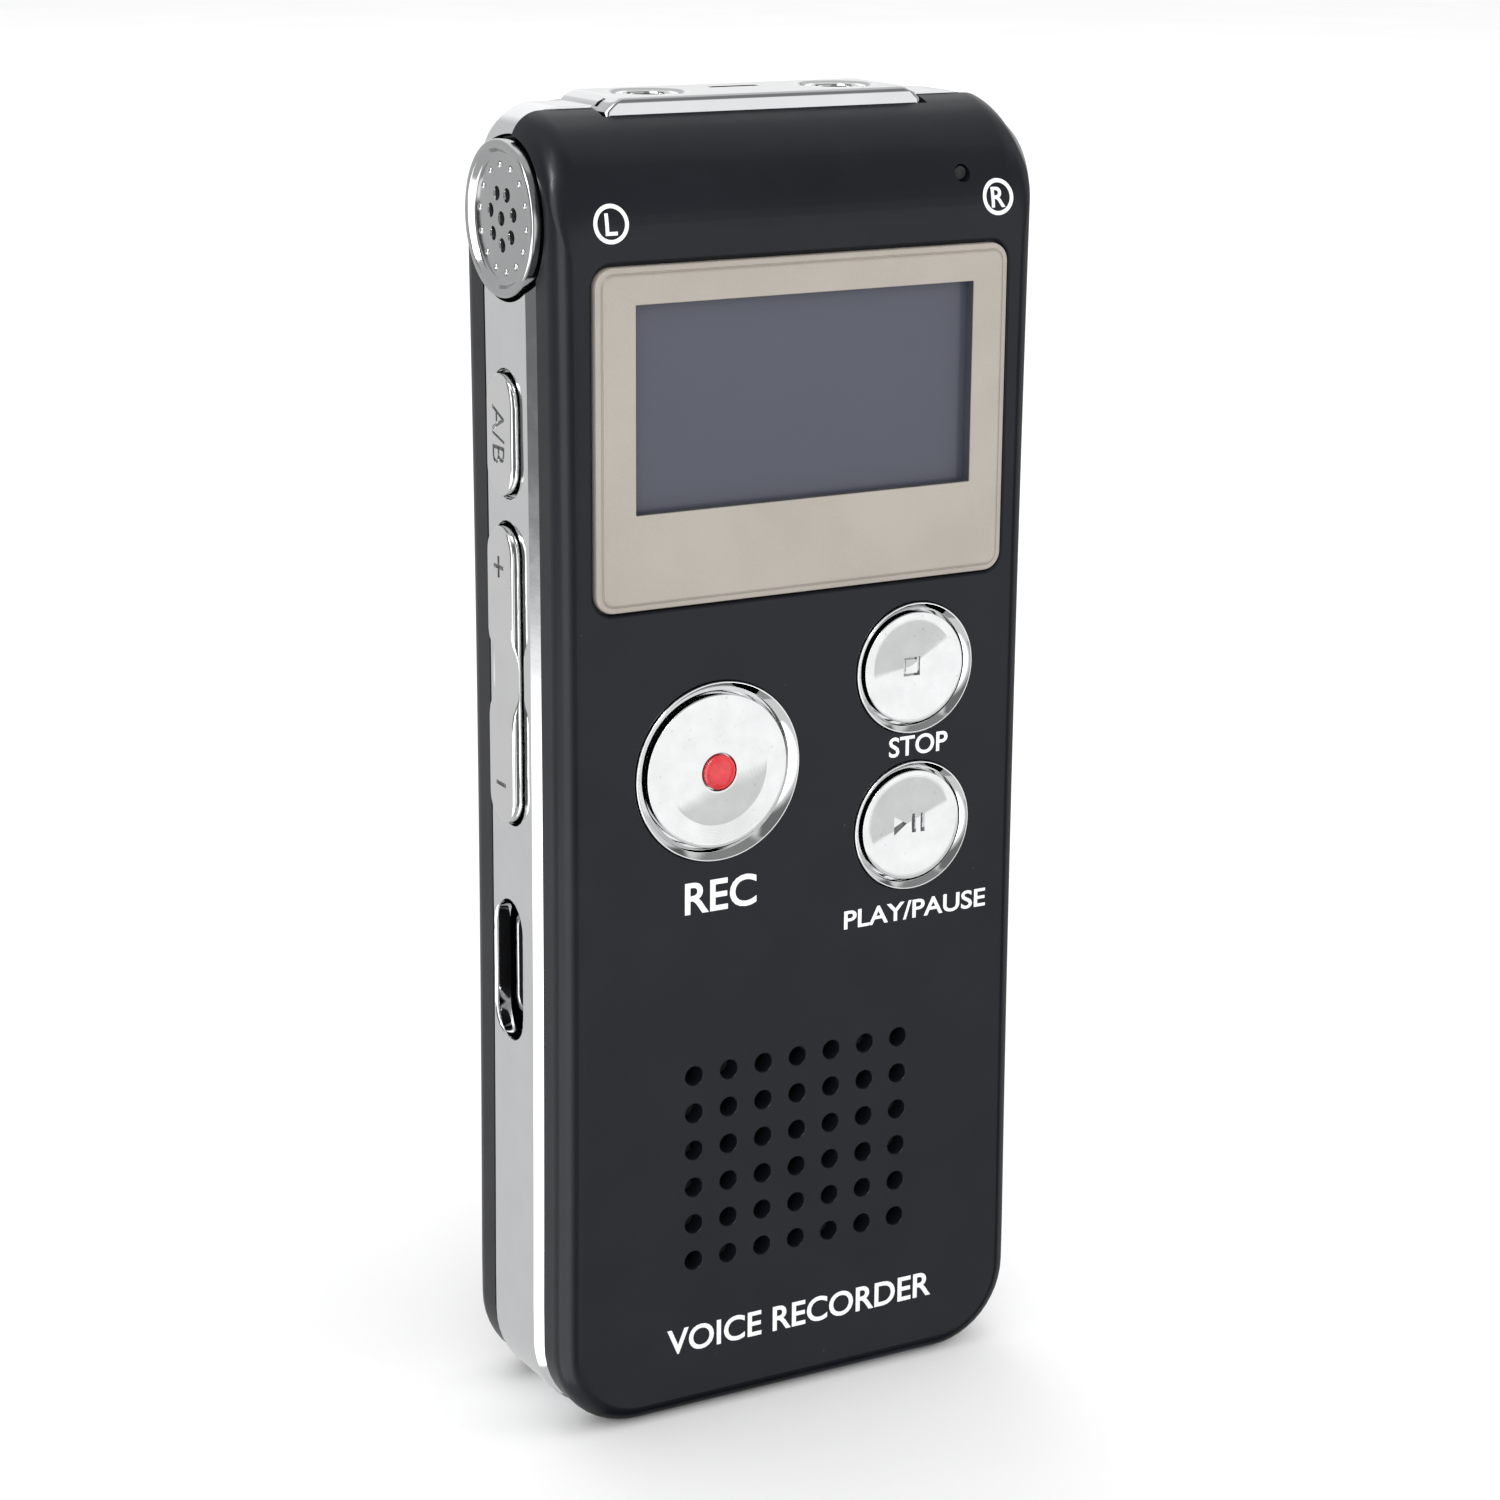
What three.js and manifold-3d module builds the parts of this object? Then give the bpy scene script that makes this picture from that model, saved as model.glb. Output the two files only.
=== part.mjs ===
// Handheld digital voice recorder: two black shells around a chrome frame, with every part inside.
// Millimetres, +Z up, front face towards -Y, origin under the middle of the standing recorder.
import * as THREE from 'three';
import { mergeVertices } from 'three/addons/utils/BufferGeometryUtils.js';
import Module from 'manifold-3d';

const wasm = await Module();
wasm.setup();

// ---- Driving dimensions ------------------------------------------------------------------------

const THICK = 16.4;              // front plane to back plane
const PROUD = 0.7;               // how far the record dot stands in front of the front plane
const FRONT = PROUD - (THICK + PROUD) / 2;   // Y of the front plane
const TOP = 99.4;                // Z of the top of the shells
const HALF = 20.05;              // half width of the shells at their ends
const CHROME_HALF = 20.35;       // half width of the chrome frame at its ends
const WAIST = 0.27;              // how much each side draws in at the waist
const WAIST_Z = 55;              // height of the waist
const WAIST_REACH = 45;          // distance from the waist to full width
const WALL = 1.6;                // shell wall
const FRAME_WALL = 1.2;          // chrome frame wall
const GAP = 0.15;                // seam left between neighbouring pieces
const CORNER_LOW = 6.6;          // radius of the two bottom corners
const CORNER_HIGH = 2.4;         // radius of the top corners of the shells
const CHROME_CORNER = 4.2;       // radius of the top corners of the chrome frame
const EDGE = 1.8;                // rounding of the front edge
const BACK_EDGE = 2.4;           // rounding of the back edge
const ROLL = 9;                  // the front face rolls back to the top with this radius
const BACK_ROLL = 4;             // the same at the back
const BACK_CORNER = 6.5;         // radius of the rear shell's top corners

const SIDE_SEAM = 3.5;           // depth of the front seam along the sides
const TOP_SEAM = 7.2;            // depth of the front seam above the microphones
const REAR_SEAM = 12.2;          // depth of the rear seam

const MIC_Z = 91.7;              // height of the microphone discs
const MIC_DEPTH = 7.9;           // depth of their centres
const MIC_RADIUS = 5.6;
const MIC_FACE = 20.75;          // X of the disc faces
const MIC_SEAT = 18;             // X of the seat behind each disc
const MIC_BOOT = 2.9;            // radius of the rubber boot

const BEZEL = { w: 34.3, low: 64.15, high: 88.9, proud: 0.45, floor: 0.5, r: 1.4 };
const WINDOW = { w: 28.1, low: 71.2, high: 86.2 };
const LENS = { w: 31.4, low: 69.4, high: 87.6 };

const CAP_RIM = -0.05;           // depth of the caps' rims
const CAP_FLANGE = 0.7;          // how far a cap's retaining flange reaches past its skirt
const STEM = { radius: 1.4, end: 4 }; // the caps' stems and the depth they reach
const REC = { x: -7.1, z: 51.3, ring: 6.85, cap: 5.85, proud: 0.35 };
const STOP = { x: 9.8, z: 57.2, ring: 5.07, cap: 4.3 };
const PLAY = { x: 9.8, z: 44.8, ring: 5.07, cap: 4.3 };
const PRESS_GAP = 0.55;          // room in front of each tact switch
const FLANGE = 0.6;              // thickness of the flanges that hold the side controls in
const ROCK_GAP = 0.45;           // room between a rocker's flange and the frame wall
const ROCKER_ARM = 7.5;          // from a rocker's pivot to each of its switches

const SIDE_DEPTH = 8.3;          // depth of the centre line of the side controls
const AB = { z: 76.2, length: 8.9, width: 4.2 };
const VOLUME = { z: 58.3, length: 22.4, width: 4.2 };
const SOCKET = { z: 35.3, length: 11, width: 4.4, depth: 8.8 };
const HOLD = { z: 35.3, length: 9.4, width: 3.4 };

const HOLES = { columns: 7, rows: 6, pitch: 3, radius: 0.75, z: 20.2 };
const LED = { x: 13.6, z: 94, radius: 0.65 };

const PLATE = { low: 98.3, top: 100, half: 13.2, front: 5.9, back: 14 };
const JACK = { x: 7.9, depth: 9.6, bore: 1.8, nose: 2.3, body: 6.2, length: 12.5 };

const BOARD = { front: 7.6, back: 8.6, half: 14.4, low: 4, high: 96 };
const SCREWS = [[-16.6, 9.5], [16.6, 9.5], [-17, 83], [17, 83]];
const BOSS = 1.4;                // radius of the screw bosses in the front shell
const SPEAKER = { x: 0, z: 20.2 };

// ---- Materials ---------------------------------------------------------------------------------

const material = (color, roughness, metalness) =>
  new THREE.MeshStandardMaterial({ color, roughness, metalness });
const BLACK = { color: 0x2e3034, roughness: 0.5, metalness: 0 };
const CHROME = { color: 0xd0d2d3, roughness: 0.12, metalness: 1 };
const BEIGE = { color: 0xc0b8ae, roughness: 0.4, metalness: 0.1 };
const GREY_GLASS = { color: 0x5c5f6a, roughness: 0.15, metalness: 0 };
const RED = { color: 0xd02a30, roughness: 0.3, metalness: 0 };
const GREEN = { color: 0x1f5a38, roughness: 0.5, metalness: 0 };
const STEEL = { color: 0xa9abad, roughness: 0.35, metalness: 1 };
const DARK = { color: 0x1b1c1e, roughness: 0.6, metalness: 0 };
const RUBBER = { color: 0x262626, roughness: 0.9, metalness: 0 };
const WHITE = { color: 0xe6e6e2, roughness: 0.5, metalness: 0 };
const SILVER = { color: 0xb9bcc2, roughness: 0.45, metalness: 0.6 };
const AMBER = { color: 0xb07028, roughness: 0.4, metalness: 0 };

// ---- Solids ------------------------------------------------------------------------------------

// A closed three.js geometry as a manifold-3d solid.
function solid(geometry) {
  const bare = geometry.clone();
  bare.deleteAttribute('normal');
  bare.deleteAttribute('uv');
  const merged = mergeVertices(bare, 1e-4);
  return new wasm.Manifold(new wasm.Mesh({
    numProp: 3,
    vertProperties: new Float32Array(merged.attributes.position.array),
    triVerts: new Uint32Array(merged.index.array),
  }));
}

const join = (first, ...others) => others.reduce((sum, other) => sum.add(other), first);
const cut = (body, ...tools) => tools.reduce((rest, tool) => rest.subtract(tool), body);

// A manifold-3d solid back as a three.js geometry.
function geometryOf(body) {
  const result = body.getMesh();
  const geometry = new THREE.BufferGeometry();
  const count = result.numProp;
  const positions = new Float32Array(result.vertProperties.length / count * 3);
  for (let i = 0; i < positions.length / 3; i += 1) {
    positions.set(result.vertProperties.slice(i * count, i * count + 3), i * 3);
  }
  geometry.setAttribute('position', new THREE.BufferAttribute(positions, 3));
  geometry.setIndex([...result.triVerts]);
  const faceted = geometry.toNonIndexed();
  faceted.computeVertexNormals();
  return faceted;
}

// A box between two corners, given as X, depth behind the front plane, and Z.
function box(x0, x1, depth0, depth1, z0, z1) {
  const geometry = new THREE.BoxGeometry(x1 - x0, depth1 - depth0, z1 - z0);
  geometry.translate((x0 + x1) / 2, FRONT + (depth0 + depth1) / 2, (z0 + z1) / 2);
  return solid(geometry);
}

// A cylinder along the depth, at X and Z, between two depths.
function pin(x, z, radius, depth0, depth1, sides = 24) {
  const geometry = new THREE.CylinderGeometry(radius, radius, depth1 - depth0, sides);
  geometry.translate(x, FRONT + (depth0 + depth1) / 2, z);
  return solid(geometry);
}

// A cylinder turned so that it runs along X, between two X values.
function crossPin(depth, z, radius, x0, x1, sides = 24) {
  const geometry = new THREE.CylinderGeometry(radius, radius, x1 - x0, sides);
  geometry.rotateZ(Math.PI / 2);
  geometry.translate((x0 + x1) / 2, FRONT + depth, z);
  return solid(geometry);
}

// An upright cylinder at X and depth, between two heights.
function upright(x, depth, radius, z0, z1, sides = 24, highRadius = radius) {
  const geometry = new THREE.CylinderGeometry(highRadius, radius, z1 - z0, sides);
  geometry.rotateX(Math.PI / 2);
  geometry.translate(x, FRONT + depth, (z0 + z1) / 2);
  return solid(geometry);
}

// A lathe turned about an axis along the depth: profile points are radius, depth.
function turned(x, z, profile, sides = 32) {
  const points = profile.map(([radius, depth]) => new THREE.Vector2(radius, depth));
  const geometry = new THREE.LatheGeometry(points, sides);
  geometry.translate(x, FRONT, z);
  return solid(geometry);
}

// A flat shape with rounded ends lying along Z, extruded along X from x0 to x1.
function sideStadium(depth, z, width, length, x0, x1, steps = 6) {
  const radius = width / 2;
  const reach = length / 2 - radius;
  const shape = new THREE.Shape();
  shape.absarc(reach, 0, radius, -Math.PI / 2, Math.PI / 2, false);
  shape.absarc(-reach, 0, radius, Math.PI / 2, Math.PI * 3 / 2, false);
  const geometry = new THREE.ExtrudeGeometry(shape, {
    depth: x1 - x0, bevelEnabled: false, curveSegments: steps,
  });
  // The shape's X becomes Z, its Y becomes the depth, and the extrusion runs along X.
  const turn = new THREE.Matrix4().set(0, 0, 1, x0, 0, 1, 0, FRONT + depth, 1, 0, 0, z, 0, 0, 0, 1);
  geometry.applyMatrix4(turn);
  return flipToOutside(geometry);
}

// A solid from a geometry that a mirroring matrix may have turned inside out.
function flipToOutside(geometry) {
  const index = geometry.index ? [...geometry.index.array]
    : [...Array(geometry.attributes.position.count).keys()];
  const flipped = geometry.clone();
  for (let i = 0; i < index.length; i += 3) {
    [index[i], index[i + 1]] = [index[i + 1], index[i]];
  }
  flipped.setIndex(index);
  return signedVolume(geometry) < 0 ? solid(flipped) : solid(geometry);
}

function signedVolume(geometry) {
  const position = geometry.attributes.position;
  const at = (i) => new THREE.Vector3().fromBufferAttribute(position, geometry.index
    ? geometry.index.getX(i) : i);
  const count = geometry.index ? geometry.index.count : position.count;
  let total = 0;
  for (let i = 0; i < count; i += 3) {
    total += at(i).dot(at(i + 1).cross(at(i + 2))) / 6;
  }
  return total;
}

// A rounded rectangle in X and Z, extruded over the depth.
function panel(halfWidth, z0, z1, radius, depth0, depth1, steps = 5, x = 0) {
  const shape = new THREE.Shape();
  const reachX = halfWidth - radius;
  shape.absarc(x + reachX, z0 + radius, radius, -Math.PI / 2, 0, false);
  shape.absarc(x + reachX, z1 - radius, radius, 0, Math.PI / 2, false);
  shape.absarc(x - reachX, z1 - radius, radius, Math.PI / 2, Math.PI, false);
  shape.absarc(x - reachX, z0 + radius, radius, Math.PI, Math.PI * 3 / 2, false);
  const geometry = new THREE.ExtrudeGeometry(shape, {
    depth: depth1 - depth0, bevelEnabled: false, curveSegments: steps,
  });
  geometry.rotateX(Math.PI / 2);
  geometry.translate(0, FRONT + depth1, 0);
  return solid(geometry);
}

// ---- The body's outline ------------------------------------------------------------------------

// How far the side draws in at a height.
const waist = (z) => Math.max(0, WAIST * (1 - ((z - WAIST_Z) / WAIST_REACH) ** 2));

// How far a surface with a rounded edge stands back from full size, at a distance from its face.
const rounding = (radius, distance) => (distance >= radius ? 0
  : radius - Math.sqrt(radius ** 2 - (radius - distance) ** 2));

// One closed loop of the body's outline at a depth, anticlockwise seen from the front.
function outline({ half, low, high, cornerLow, cornerHigh, depth }, arcSteps = 4, sideSteps = 4) {
  const points = [];
  const corner = (cx, cz, radius, start) => {
    for (let i = 0; i <= arcSteps; i += 1) {
      const angle = start + (i / arcSteps) * Math.PI / 2;
      points.push([cx + radius * Math.cos(angle), cz + radius * Math.sin(angle)]);
    }
  };
  const side = (x, from, to) => {
    for (let i = 1; i < sideSteps; i += 1) {
      points.push([x, from + (to - from) * i / sideSteps]);
    }
  };
  corner(half - cornerLow, low + cornerLow, cornerLow, -Math.PI / 2);
  side(half, low + cornerLow, high - cornerHigh);
  corner(half - cornerHigh, high - cornerHigh, cornerHigh, 0);
  corner(cornerHigh - half, high - cornerHigh, cornerHigh, Math.PI / 2);
  side(-half, high - cornerHigh, low + cornerLow);
  corner(cornerLow - half, low + cornerLow, cornerLow, Math.PI);
  return points.map(([x, z]) => new THREE.Vector3(x * (1 - waist(z) / half), FRONT + depth, z));
}

// A closed solid through a row of loops from front to back.
function loft(loops) {
  const count = loops[0].length;
  const positions = loops.flat().flatMap((point) => [point.x, point.y, point.z]);
  const index = [];
  for (let level = 0; level < loops.length - 1; level += 1) {
    for (let i = 0; i < count; i += 1) {
      const a = level * count + i;
      const b = level * count + (i + 1) % count;
      index.push(a, a + count, b, b, a + count, b + count);
    }
  }
  const flat = loops[0].map((point) => new THREE.Vector2(point.x, point.z));
  for (const [a, b, c] of THREE.ShapeUtils.triangulateShape(flat, [])) {
    index.push(a, b, c);
  }
  const end = (loops.length - 1) * count;
  const last = loops.at(-1).map((point) => new THREE.Vector2(point.x, point.z));
  for (const [a, b, c] of THREE.ShapeUtils.triangulateShape(last, [])) {
    index.push(end + a, end + c, end + b);
  }
  const geometry = new THREE.BufferGeometry();
  geometry.setAttribute('position', new THREE.Float32BufferAttribute(positions, 3));
  geometry.setIndex(index);
  return flipToOutside(geometry);
}

// The front half of the body, offset inwards by `inset`, from its face to `back`.
function frontForm(inset, back) {
  const roll = ROLL - inset;
  const edge = Math.max(EDGE - inset, 0.5);
  const depths = [];
  for (let angle = 0; roll * (1 - Math.cos(angle)) < back - inset; angle += 0.23) {
    depths.push(inset + roll * (1 - Math.cos(angle)));
  }
  depths.push(back);
  return loft(depths.map((depth) => {
    const drawn = rounding(edge, depth - inset);
    return outline({
      half: HALF - inset - drawn,
      low: inset + drawn,
      high: TOP - inset - rounding(roll, depth - inset),
      cornerLow: CORNER_LOW - inset - drawn,
      cornerHigh: Math.max(CORNER_HIGH - inset, 0.6),
      depth,
    });
  }));
}

// The back half of the body, from `front` to its back face.
function backForm(inset, front) {
  const roll = BACK_ROLL - inset;
  const edge = BACK_EDGE - inset;
  const face = THICK - inset;
  const depths = [];
  for (let angle = 0; angle < Math.PI / 2; angle += 0.3) {
    depths.push(face - roll * (1 - Math.cos(angle)));
  }
  const kept = depths.filter((depth) => depth > front + 0.1).reverse();
  return loft([front, ...kept].map((depth) => {
    const drawn = rounding(edge, face - depth);
    return outline({
      half: HALF - inset - drawn,
      low: inset + drawn,
      high: TOP - inset - rounding(roll, face - depth),
      cornerLow: CORNER_LOW - inset - drawn,
      cornerHigh: BACK_CORNER - inset,
      depth,
    });
  }));
}

// The chrome frame's solid form. Its front and rear edges are chamfered.
function frameForm(inset, front, rear) {
  const chamfer = inset > 0 ? 0 : 0.6;
  const levels = [[front, chamfer], [front + 1.1, 0], [rear - 0.8, 0], [rear, chamfer * 0.7]];
  return loft(levels.map(([depth, drawn]) => outline({
    half: CHROME_HALF - inset - drawn,
    low: inset,
    high: TOP - inset,
    cornerLow: CORNER_LOW - inset,
    cornerHigh: CHROME_CORNER - inset,
    depth,
  })));
}

// X of the chrome frame's outer face at a height.
const chromeFace = (z) => CHROME_HALF - waist(z);

// ---- Casing ------------------------------------------------------------------------------------

const plateNotch = box(-PLATE.half - 0.3, PLATE.half + 0.3, PLATE.front - 0.3, PLATE.back + 0.3,
  PLATE.low - 0.3, TOP + 1);
// A span of X on one side of the body, from inside to outside.
const onSide = (side, inner, outer) => (side < 0 ? [-outer, -inner] : [inner, outer]);

const micHole = (side, inner) => crossPin(MIC_DEPTH, MIC_Z, MIC_RADIUS + 0.3,
  ...onSide(side, inner, 22), 28);
const aboveMics = (depth0, depth1) => box(-25, 25, depth0, depth1, MIC_Z, TOP + 1);

function screwBoss([x, z]) {
  const post = pin(x, z, BOSS, WALL - 0.2, REAR_SEAM - 0.4, 12);
  return cut(post, pin(x, z, 0.75, 6, REAR_SEAM, 8));
}

function frontShell() {
  const deep = cut(frontForm(0, TOP_SEAM), frontForm(WALL, TOP_SEAM + 1));
  const keep = join(box(-25, 25, -1, SIDE_SEAM, -1, TOP + 1), aboveMics(-1, TOP_SEAM));
  let shell = deep.intersect(keep);
  shell = join(shell, ...SCREWS.map(screwBoss));
  shell = cut(shell, panel(BEZEL.w / 2 + GAP, BEZEL.low - GAP, BEZEL.high + GAP, BEZEL.r + GAP,
    -1, BEZEL.floor));
  shell = cut(shell, box(-LENS.w / 2 - GAP, LENS.w / 2 + GAP, -1, WALL + 1, LENS.low - GAP,
    LENS.high + GAP));
  for (const button of [REC, STOP, PLAY]) {
    shell = cut(shell, pin(button.x, button.z, button.ring + GAP, -1, WALL + 1, 28));
  }
  for (let column = 0; column < HOLES.columns; column += 1) {
    for (let row = 0; row < HOLES.rows; row += 1) {
      const x = (column - (HOLES.columns - 1) / 2) * HOLES.pitch;
      const z = HOLES.z + (row - (HOLES.rows - 1) / 2) * HOLES.pitch;
      shell = cut(shell, pin(x, z, HOLES.radius, -1, WALL + 1, 8));
    }
  }
  shell = cut(shell, pin(LED.x, LED.z, LED.radius, -1, 4, 8));
  return cut(shell, micHole(-1, 15.5), micHole(1, 15.5), plateNotch);
}

function rearShell() {
  let shell = cut(backForm(0, REAR_SEAM), backForm(WALL, REAR_SEAM - 1));
  for (const [x, z] of SCREWS) {
    shell = join(shell, pin(x, z, 2, REAR_SEAM, THICK - WALL + 0.2, 12));
    shell = cut(shell, pin(x, z, 0.9, REAR_SEAM - 1, THICK + 1, 8));
    shell = cut(shell, pin(x, z, 1.5, THICK - 1.6, THICK + 1, 16));
  }
  return cut(shell, micHole(-1, 15.5), micHole(1, 15.5), plateNotch);
}

// The wall behind a microphone disc that carries the frame past it, with a hole for the boot.
function micCradle(side) {
  const rear = REAR_SEAM - GAP;
  const wall = join(
    box(...onSide(side, MIC_SEAT - 1.2, MIC_SEAT), TOP_SEAM + GAP, rear, 84.6, TOP - 0.8),
    box(...onSide(side, MIC_SEAT - 1.2, MIC_SEAT), SIDE_SEAM + GAP, rear, 84.6, MIC_Z),
    box(...onSide(side, MIC_SEAT - 1.2, 19.6), SIDE_SEAM + 0.9, rear - 0.6, 84.6, 85.5),
  );
  return cut(wall, crossPin(MIC_DEPTH, MIC_Z, MIC_BOOT + 0.3, ...onSide(side, 15, 19), 16));
}

function midFrame() {
  const band = cut(frameForm(0, SIDE_SEAM + GAP, REAR_SEAM - GAP),
    frameForm(FRAME_WALL, SIDE_SEAM - 1, REAR_SEAM + 1));
  const trimmed = cut(band, box(-25, 25, -1, TOP_SEAM + GAP, MIC_Z, TOP + 1));
  const ledges = [-1, 1].map((side) => box(...onSide(side, PLATE.half - 2, PLATE.half + 2),
    TOP_SEAM + GAP, REAR_SEAM - GAP, PLATE.low - 1.5, TOP - 0.8));
  let frame = cut(join(trimmed, ...ledges), plateNotch, micHole(-1, MIC_SEAT + 0.1),
    micHole(1, MIC_SEAT + 0.1));
  frame = join(frame, micCradle(-1), micCradle(1));
  const slots = [
    [-1, AB, SIDE_DEPTH], [-1, VOLUME, SIDE_DEPTH], [-1, SOCKET, SOCKET.depth],
    [1, AB, SIDE_DEPTH], [1, VOLUME, SIDE_DEPTH], [1, HOLD, SIDE_DEPTH],
  ];
  for (const [side, slot, depth] of slots) {
    const clearance = slot === SOCKET || slot === HOLD ? 0 : 0.3;
    frame = cut(frame, sideStadium(depth, slot.z, slot.width + clearance * 2,
      slot.length + clearance * 2, side < 0 ? -22 : 17, side < 0 ? -17 : 22));
  }
  return frame;
}

// The raised plate on top, with a dished rim round each jack and a small slot between them.
function topPlate() {
  const ring = (half, front, back, z) => [
    new THREE.Vector3(-half, FRONT + front, z), new THREE.Vector3(half, FRONT + front, z),
    new THREE.Vector3(half, FRONT + back, z), new THREE.Vector3(-half, FRONT + back, z),
  ];
  const levels = [
    [PLATE.half, PLATE.front, PLATE.back, PLATE.low],
    [PLATE.half, PLATE.front, PLATE.back, TOP - 0.4],
    [PLATE.half - 1, PLATE.front + 0.1, PLATE.back - 0.1, PLATE.top - 0.25],
    [PLATE.half - 1.4, PLATE.front + 0.4, PLATE.back - 0.4, PLATE.top],
  ];
  const positions = levels.flatMap((level) => ring(...level)).flatMap((p) => [p.x, p.y, p.z]);
  const index = [0, 2, 1, 0, 3, 2];
  for (let level = 0; level < levels.length - 1; level += 1) {
    for (let i = 0; i < 4; i += 1) {
      const a = level * 4 + i;
      const b = level * 4 + (i + 1) % 4;
      index.push(a, b, a + 4, b, b + 4, a + 4);
    }
  }
  const last = (levels.length - 1) * 4;
  index.push(last, last + 1, last + 2, last, last + 2, last + 3);
  const geometry = new THREE.BufferGeometry();
  geometry.setAttribute('position', new THREE.Float32BufferAttribute(positions, 3));
  geometry.setIndex(index);
  let plate = flipToOutside(geometry);
  for (const side of [-1, 1]) {
    plate = cut(plate, upright(side * JACK.x, JACK.depth, JACK.nose + 0.3, 97, 102, 24));
    plate = cut(plate, upright(side * JACK.x, JACK.depth, JACK.nose + 0.2, PLATE.top - 0.7,
      PLATE.top + 0.01, 24, 3.05));
  }
  return cut(plate, box(-2, 2, 10.6, 11.4, PLATE.top - 0.8, PLATE.top + 1));
}

// A headphone-type socket: square body with a round nose and a bore for the plug.
function jackSocket(side) {
  const x = side * JACK.x;
  const half = JACK.body / 2;
  const high = PLATE.low - 1.8;
  const body = box(x - half, x + half, JACK.depth - 2.6, JACK.depth + half, high - JACK.length,
    high);
  const nose = upright(x, JACK.depth, JACK.nose, high - 1, PLATE.top - 0.35, 24);
  return cut(join(body, nose), upright(x, JACK.depth, JACK.bore, high - JACK.length + 1, 102, 16));
}

// ---- Display -----------------------------------------------------------------------------------

function displayBezel() {
  const plate = panel(BEZEL.w / 2, BEZEL.low, BEZEL.high, BEZEL.r, -BEZEL.proud + 0.25,
    BEZEL.floor - 0.05);
  const step = panel(BEZEL.w / 2 - 0.55, BEZEL.low + 0.55, BEZEL.high - 0.55, BEZEL.r - 0.4,
    -BEZEL.proud, 0);
  return cut(join(plate, step), box(-WINDOW.w / 2, WINDOW.w / 2, -2, 2, WINDOW.low, WINDOW.high));
}

const displayLens = () => box(-LENS.w / 2, LENS.w / 2, BEZEL.floor, WALL, LENS.low, LENS.high);
const lcdPanel = () => box(-15, 15, 1.8, 3.2, 68.2, 88.2);

function lcdHolder() {
  const frame = box(-15.4, 15.4, 3.3, 6.4, 67.4, 88.8);
  return cut(frame, box(-13.9, 13.9, 4.4, 7, 69, 87.2));
}

// The flat ribbon that runs from the glass, round the holder's lower edge, to the board.
function lcdRibbon() {
  const side = new THREE.Shape();
  const route = [[2.2, 68], [2.2, 66.4], [3, 65.6], [6.6, 65.6], [7.4, 64.8], [7.4, 61.4]];
  const inner = [[7.2, 61.4], [7.2, 64.7], [6.5, 65.4], [2.9, 65.4], [2, 66.3], [2, 68]];
  [...route, ...inner].forEach(([depth, z], i) => (i ? side.lineTo(depth, z)
    : side.moveTo(depth, z)));
  const geometry = new THREE.ExtrudeGeometry(side, { depth: 16, bevelEnabled: false });
  const turn = new THREE.Matrix4().set(0, 0, 1, -8, 1, 0, 0, FRONT, 0, 1, 0, 0, 0, 0, 0, 1);
  geometry.applyMatrix4(turn);
  return flipToOutside(geometry);
}

// ---- Front buttons -----------------------------------------------------------------------------

const buttonRing = ({ x, z, ring, cap }) => turned(x, z, [
  [cap + 0.3, 0.3], [ring - 0.3, -0.2], [ring, 0], [ring, WALL], [cap + 0.3, WALL],
  [cap + 0.3, 0.3],
], 28);

// A spun cap: its face as [radius, depth] steps, then rim, skirt, retaining flange and a stem.
function buttonCap({ x, z, cap }, face) {
  const flange = cap + CAP_FLANGE;
  return turned(x, z, [
    ...face, [cap - 0.1, CAP_RIM], [cap, CAP_RIM + 0.1], [cap, WALL + GAP],
    [flange, WALL + GAP], [flange, WALL + 0.8], [STEM.radius, WALL + 0.8],
    [STEM.radius, STEM.end], [0, STEM.end],
  ], 24);
}

function recButton() {
  const face = [[0, -REC.proud], [REC.cap * 0.69, -REC.proud + 0.2],
    [REC.cap * 0.69 + 0.1, CAP_RIM]];
  return cut(buttonCap(REC, face), pin(REC.x, REC.z, 1.5, -1, 0.25, 14));
}

// The two small caps are dished towards their middles.
const dishedCap = (button) => buttonCap(button, [[0, 0.45], [button.cap * 0.86, CAP_RIM]]);

const recDot = () => turned(REC.x, REC.z, [
  [0, -PROUD], [0.5, -PROUD + 0.05], [0.95, -PROUD + 0.2], [1.36, -REC.proud + 0.1],
  [1.36, 0.2], [0, 0.2],
], 14);

// A tact switch behind a front button, with a round plunger towards it.
function frontSwitch({ x, z }) {
  const body = box(x - 2.2, x + 2.2, 5.6, BOARD.front - 0.05, z - 2.2, z + 2.2);
  return join(body, pin(x, z, 1.1, STEM.end + PRESS_GAP, 5.7, 12));
}

// ---- Side controls -----------------------------------------------------------------------------

// The retaining flange of a side control, inside the frame wall, and the X of its inner face.
const flangeInner = (face, gap) => face - FRAME_WALL - gap - FLANGE;
const sideFlange = (side, { z, length, width }, face, gap) => sideStadium(SIDE_DEPTH, z,
  width + 1.6, length + 1.6, ...onSide(side, flangeInner(face, gap), face - FRAME_WALL - gap));

// A push button in the side of the chrome frame.
function sideButton(side, { z, length, width }) {
  const face = chromeFace(z);
  const inner = flangeInner(face, GAP) + 0.1;
  const cap = sideStadium(SIDE_DEPTH, z, width, length, ...onSide(side, inner, face + 0.3));
  const crown = sideStadium(SIDE_DEPTH, z, width - 0.7, length - 0.7,
    ...onSide(side, face, face + 0.55));
  return join(cap, crown, sideFlange(side, { z, length, width }, face, GAP));
}

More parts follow.
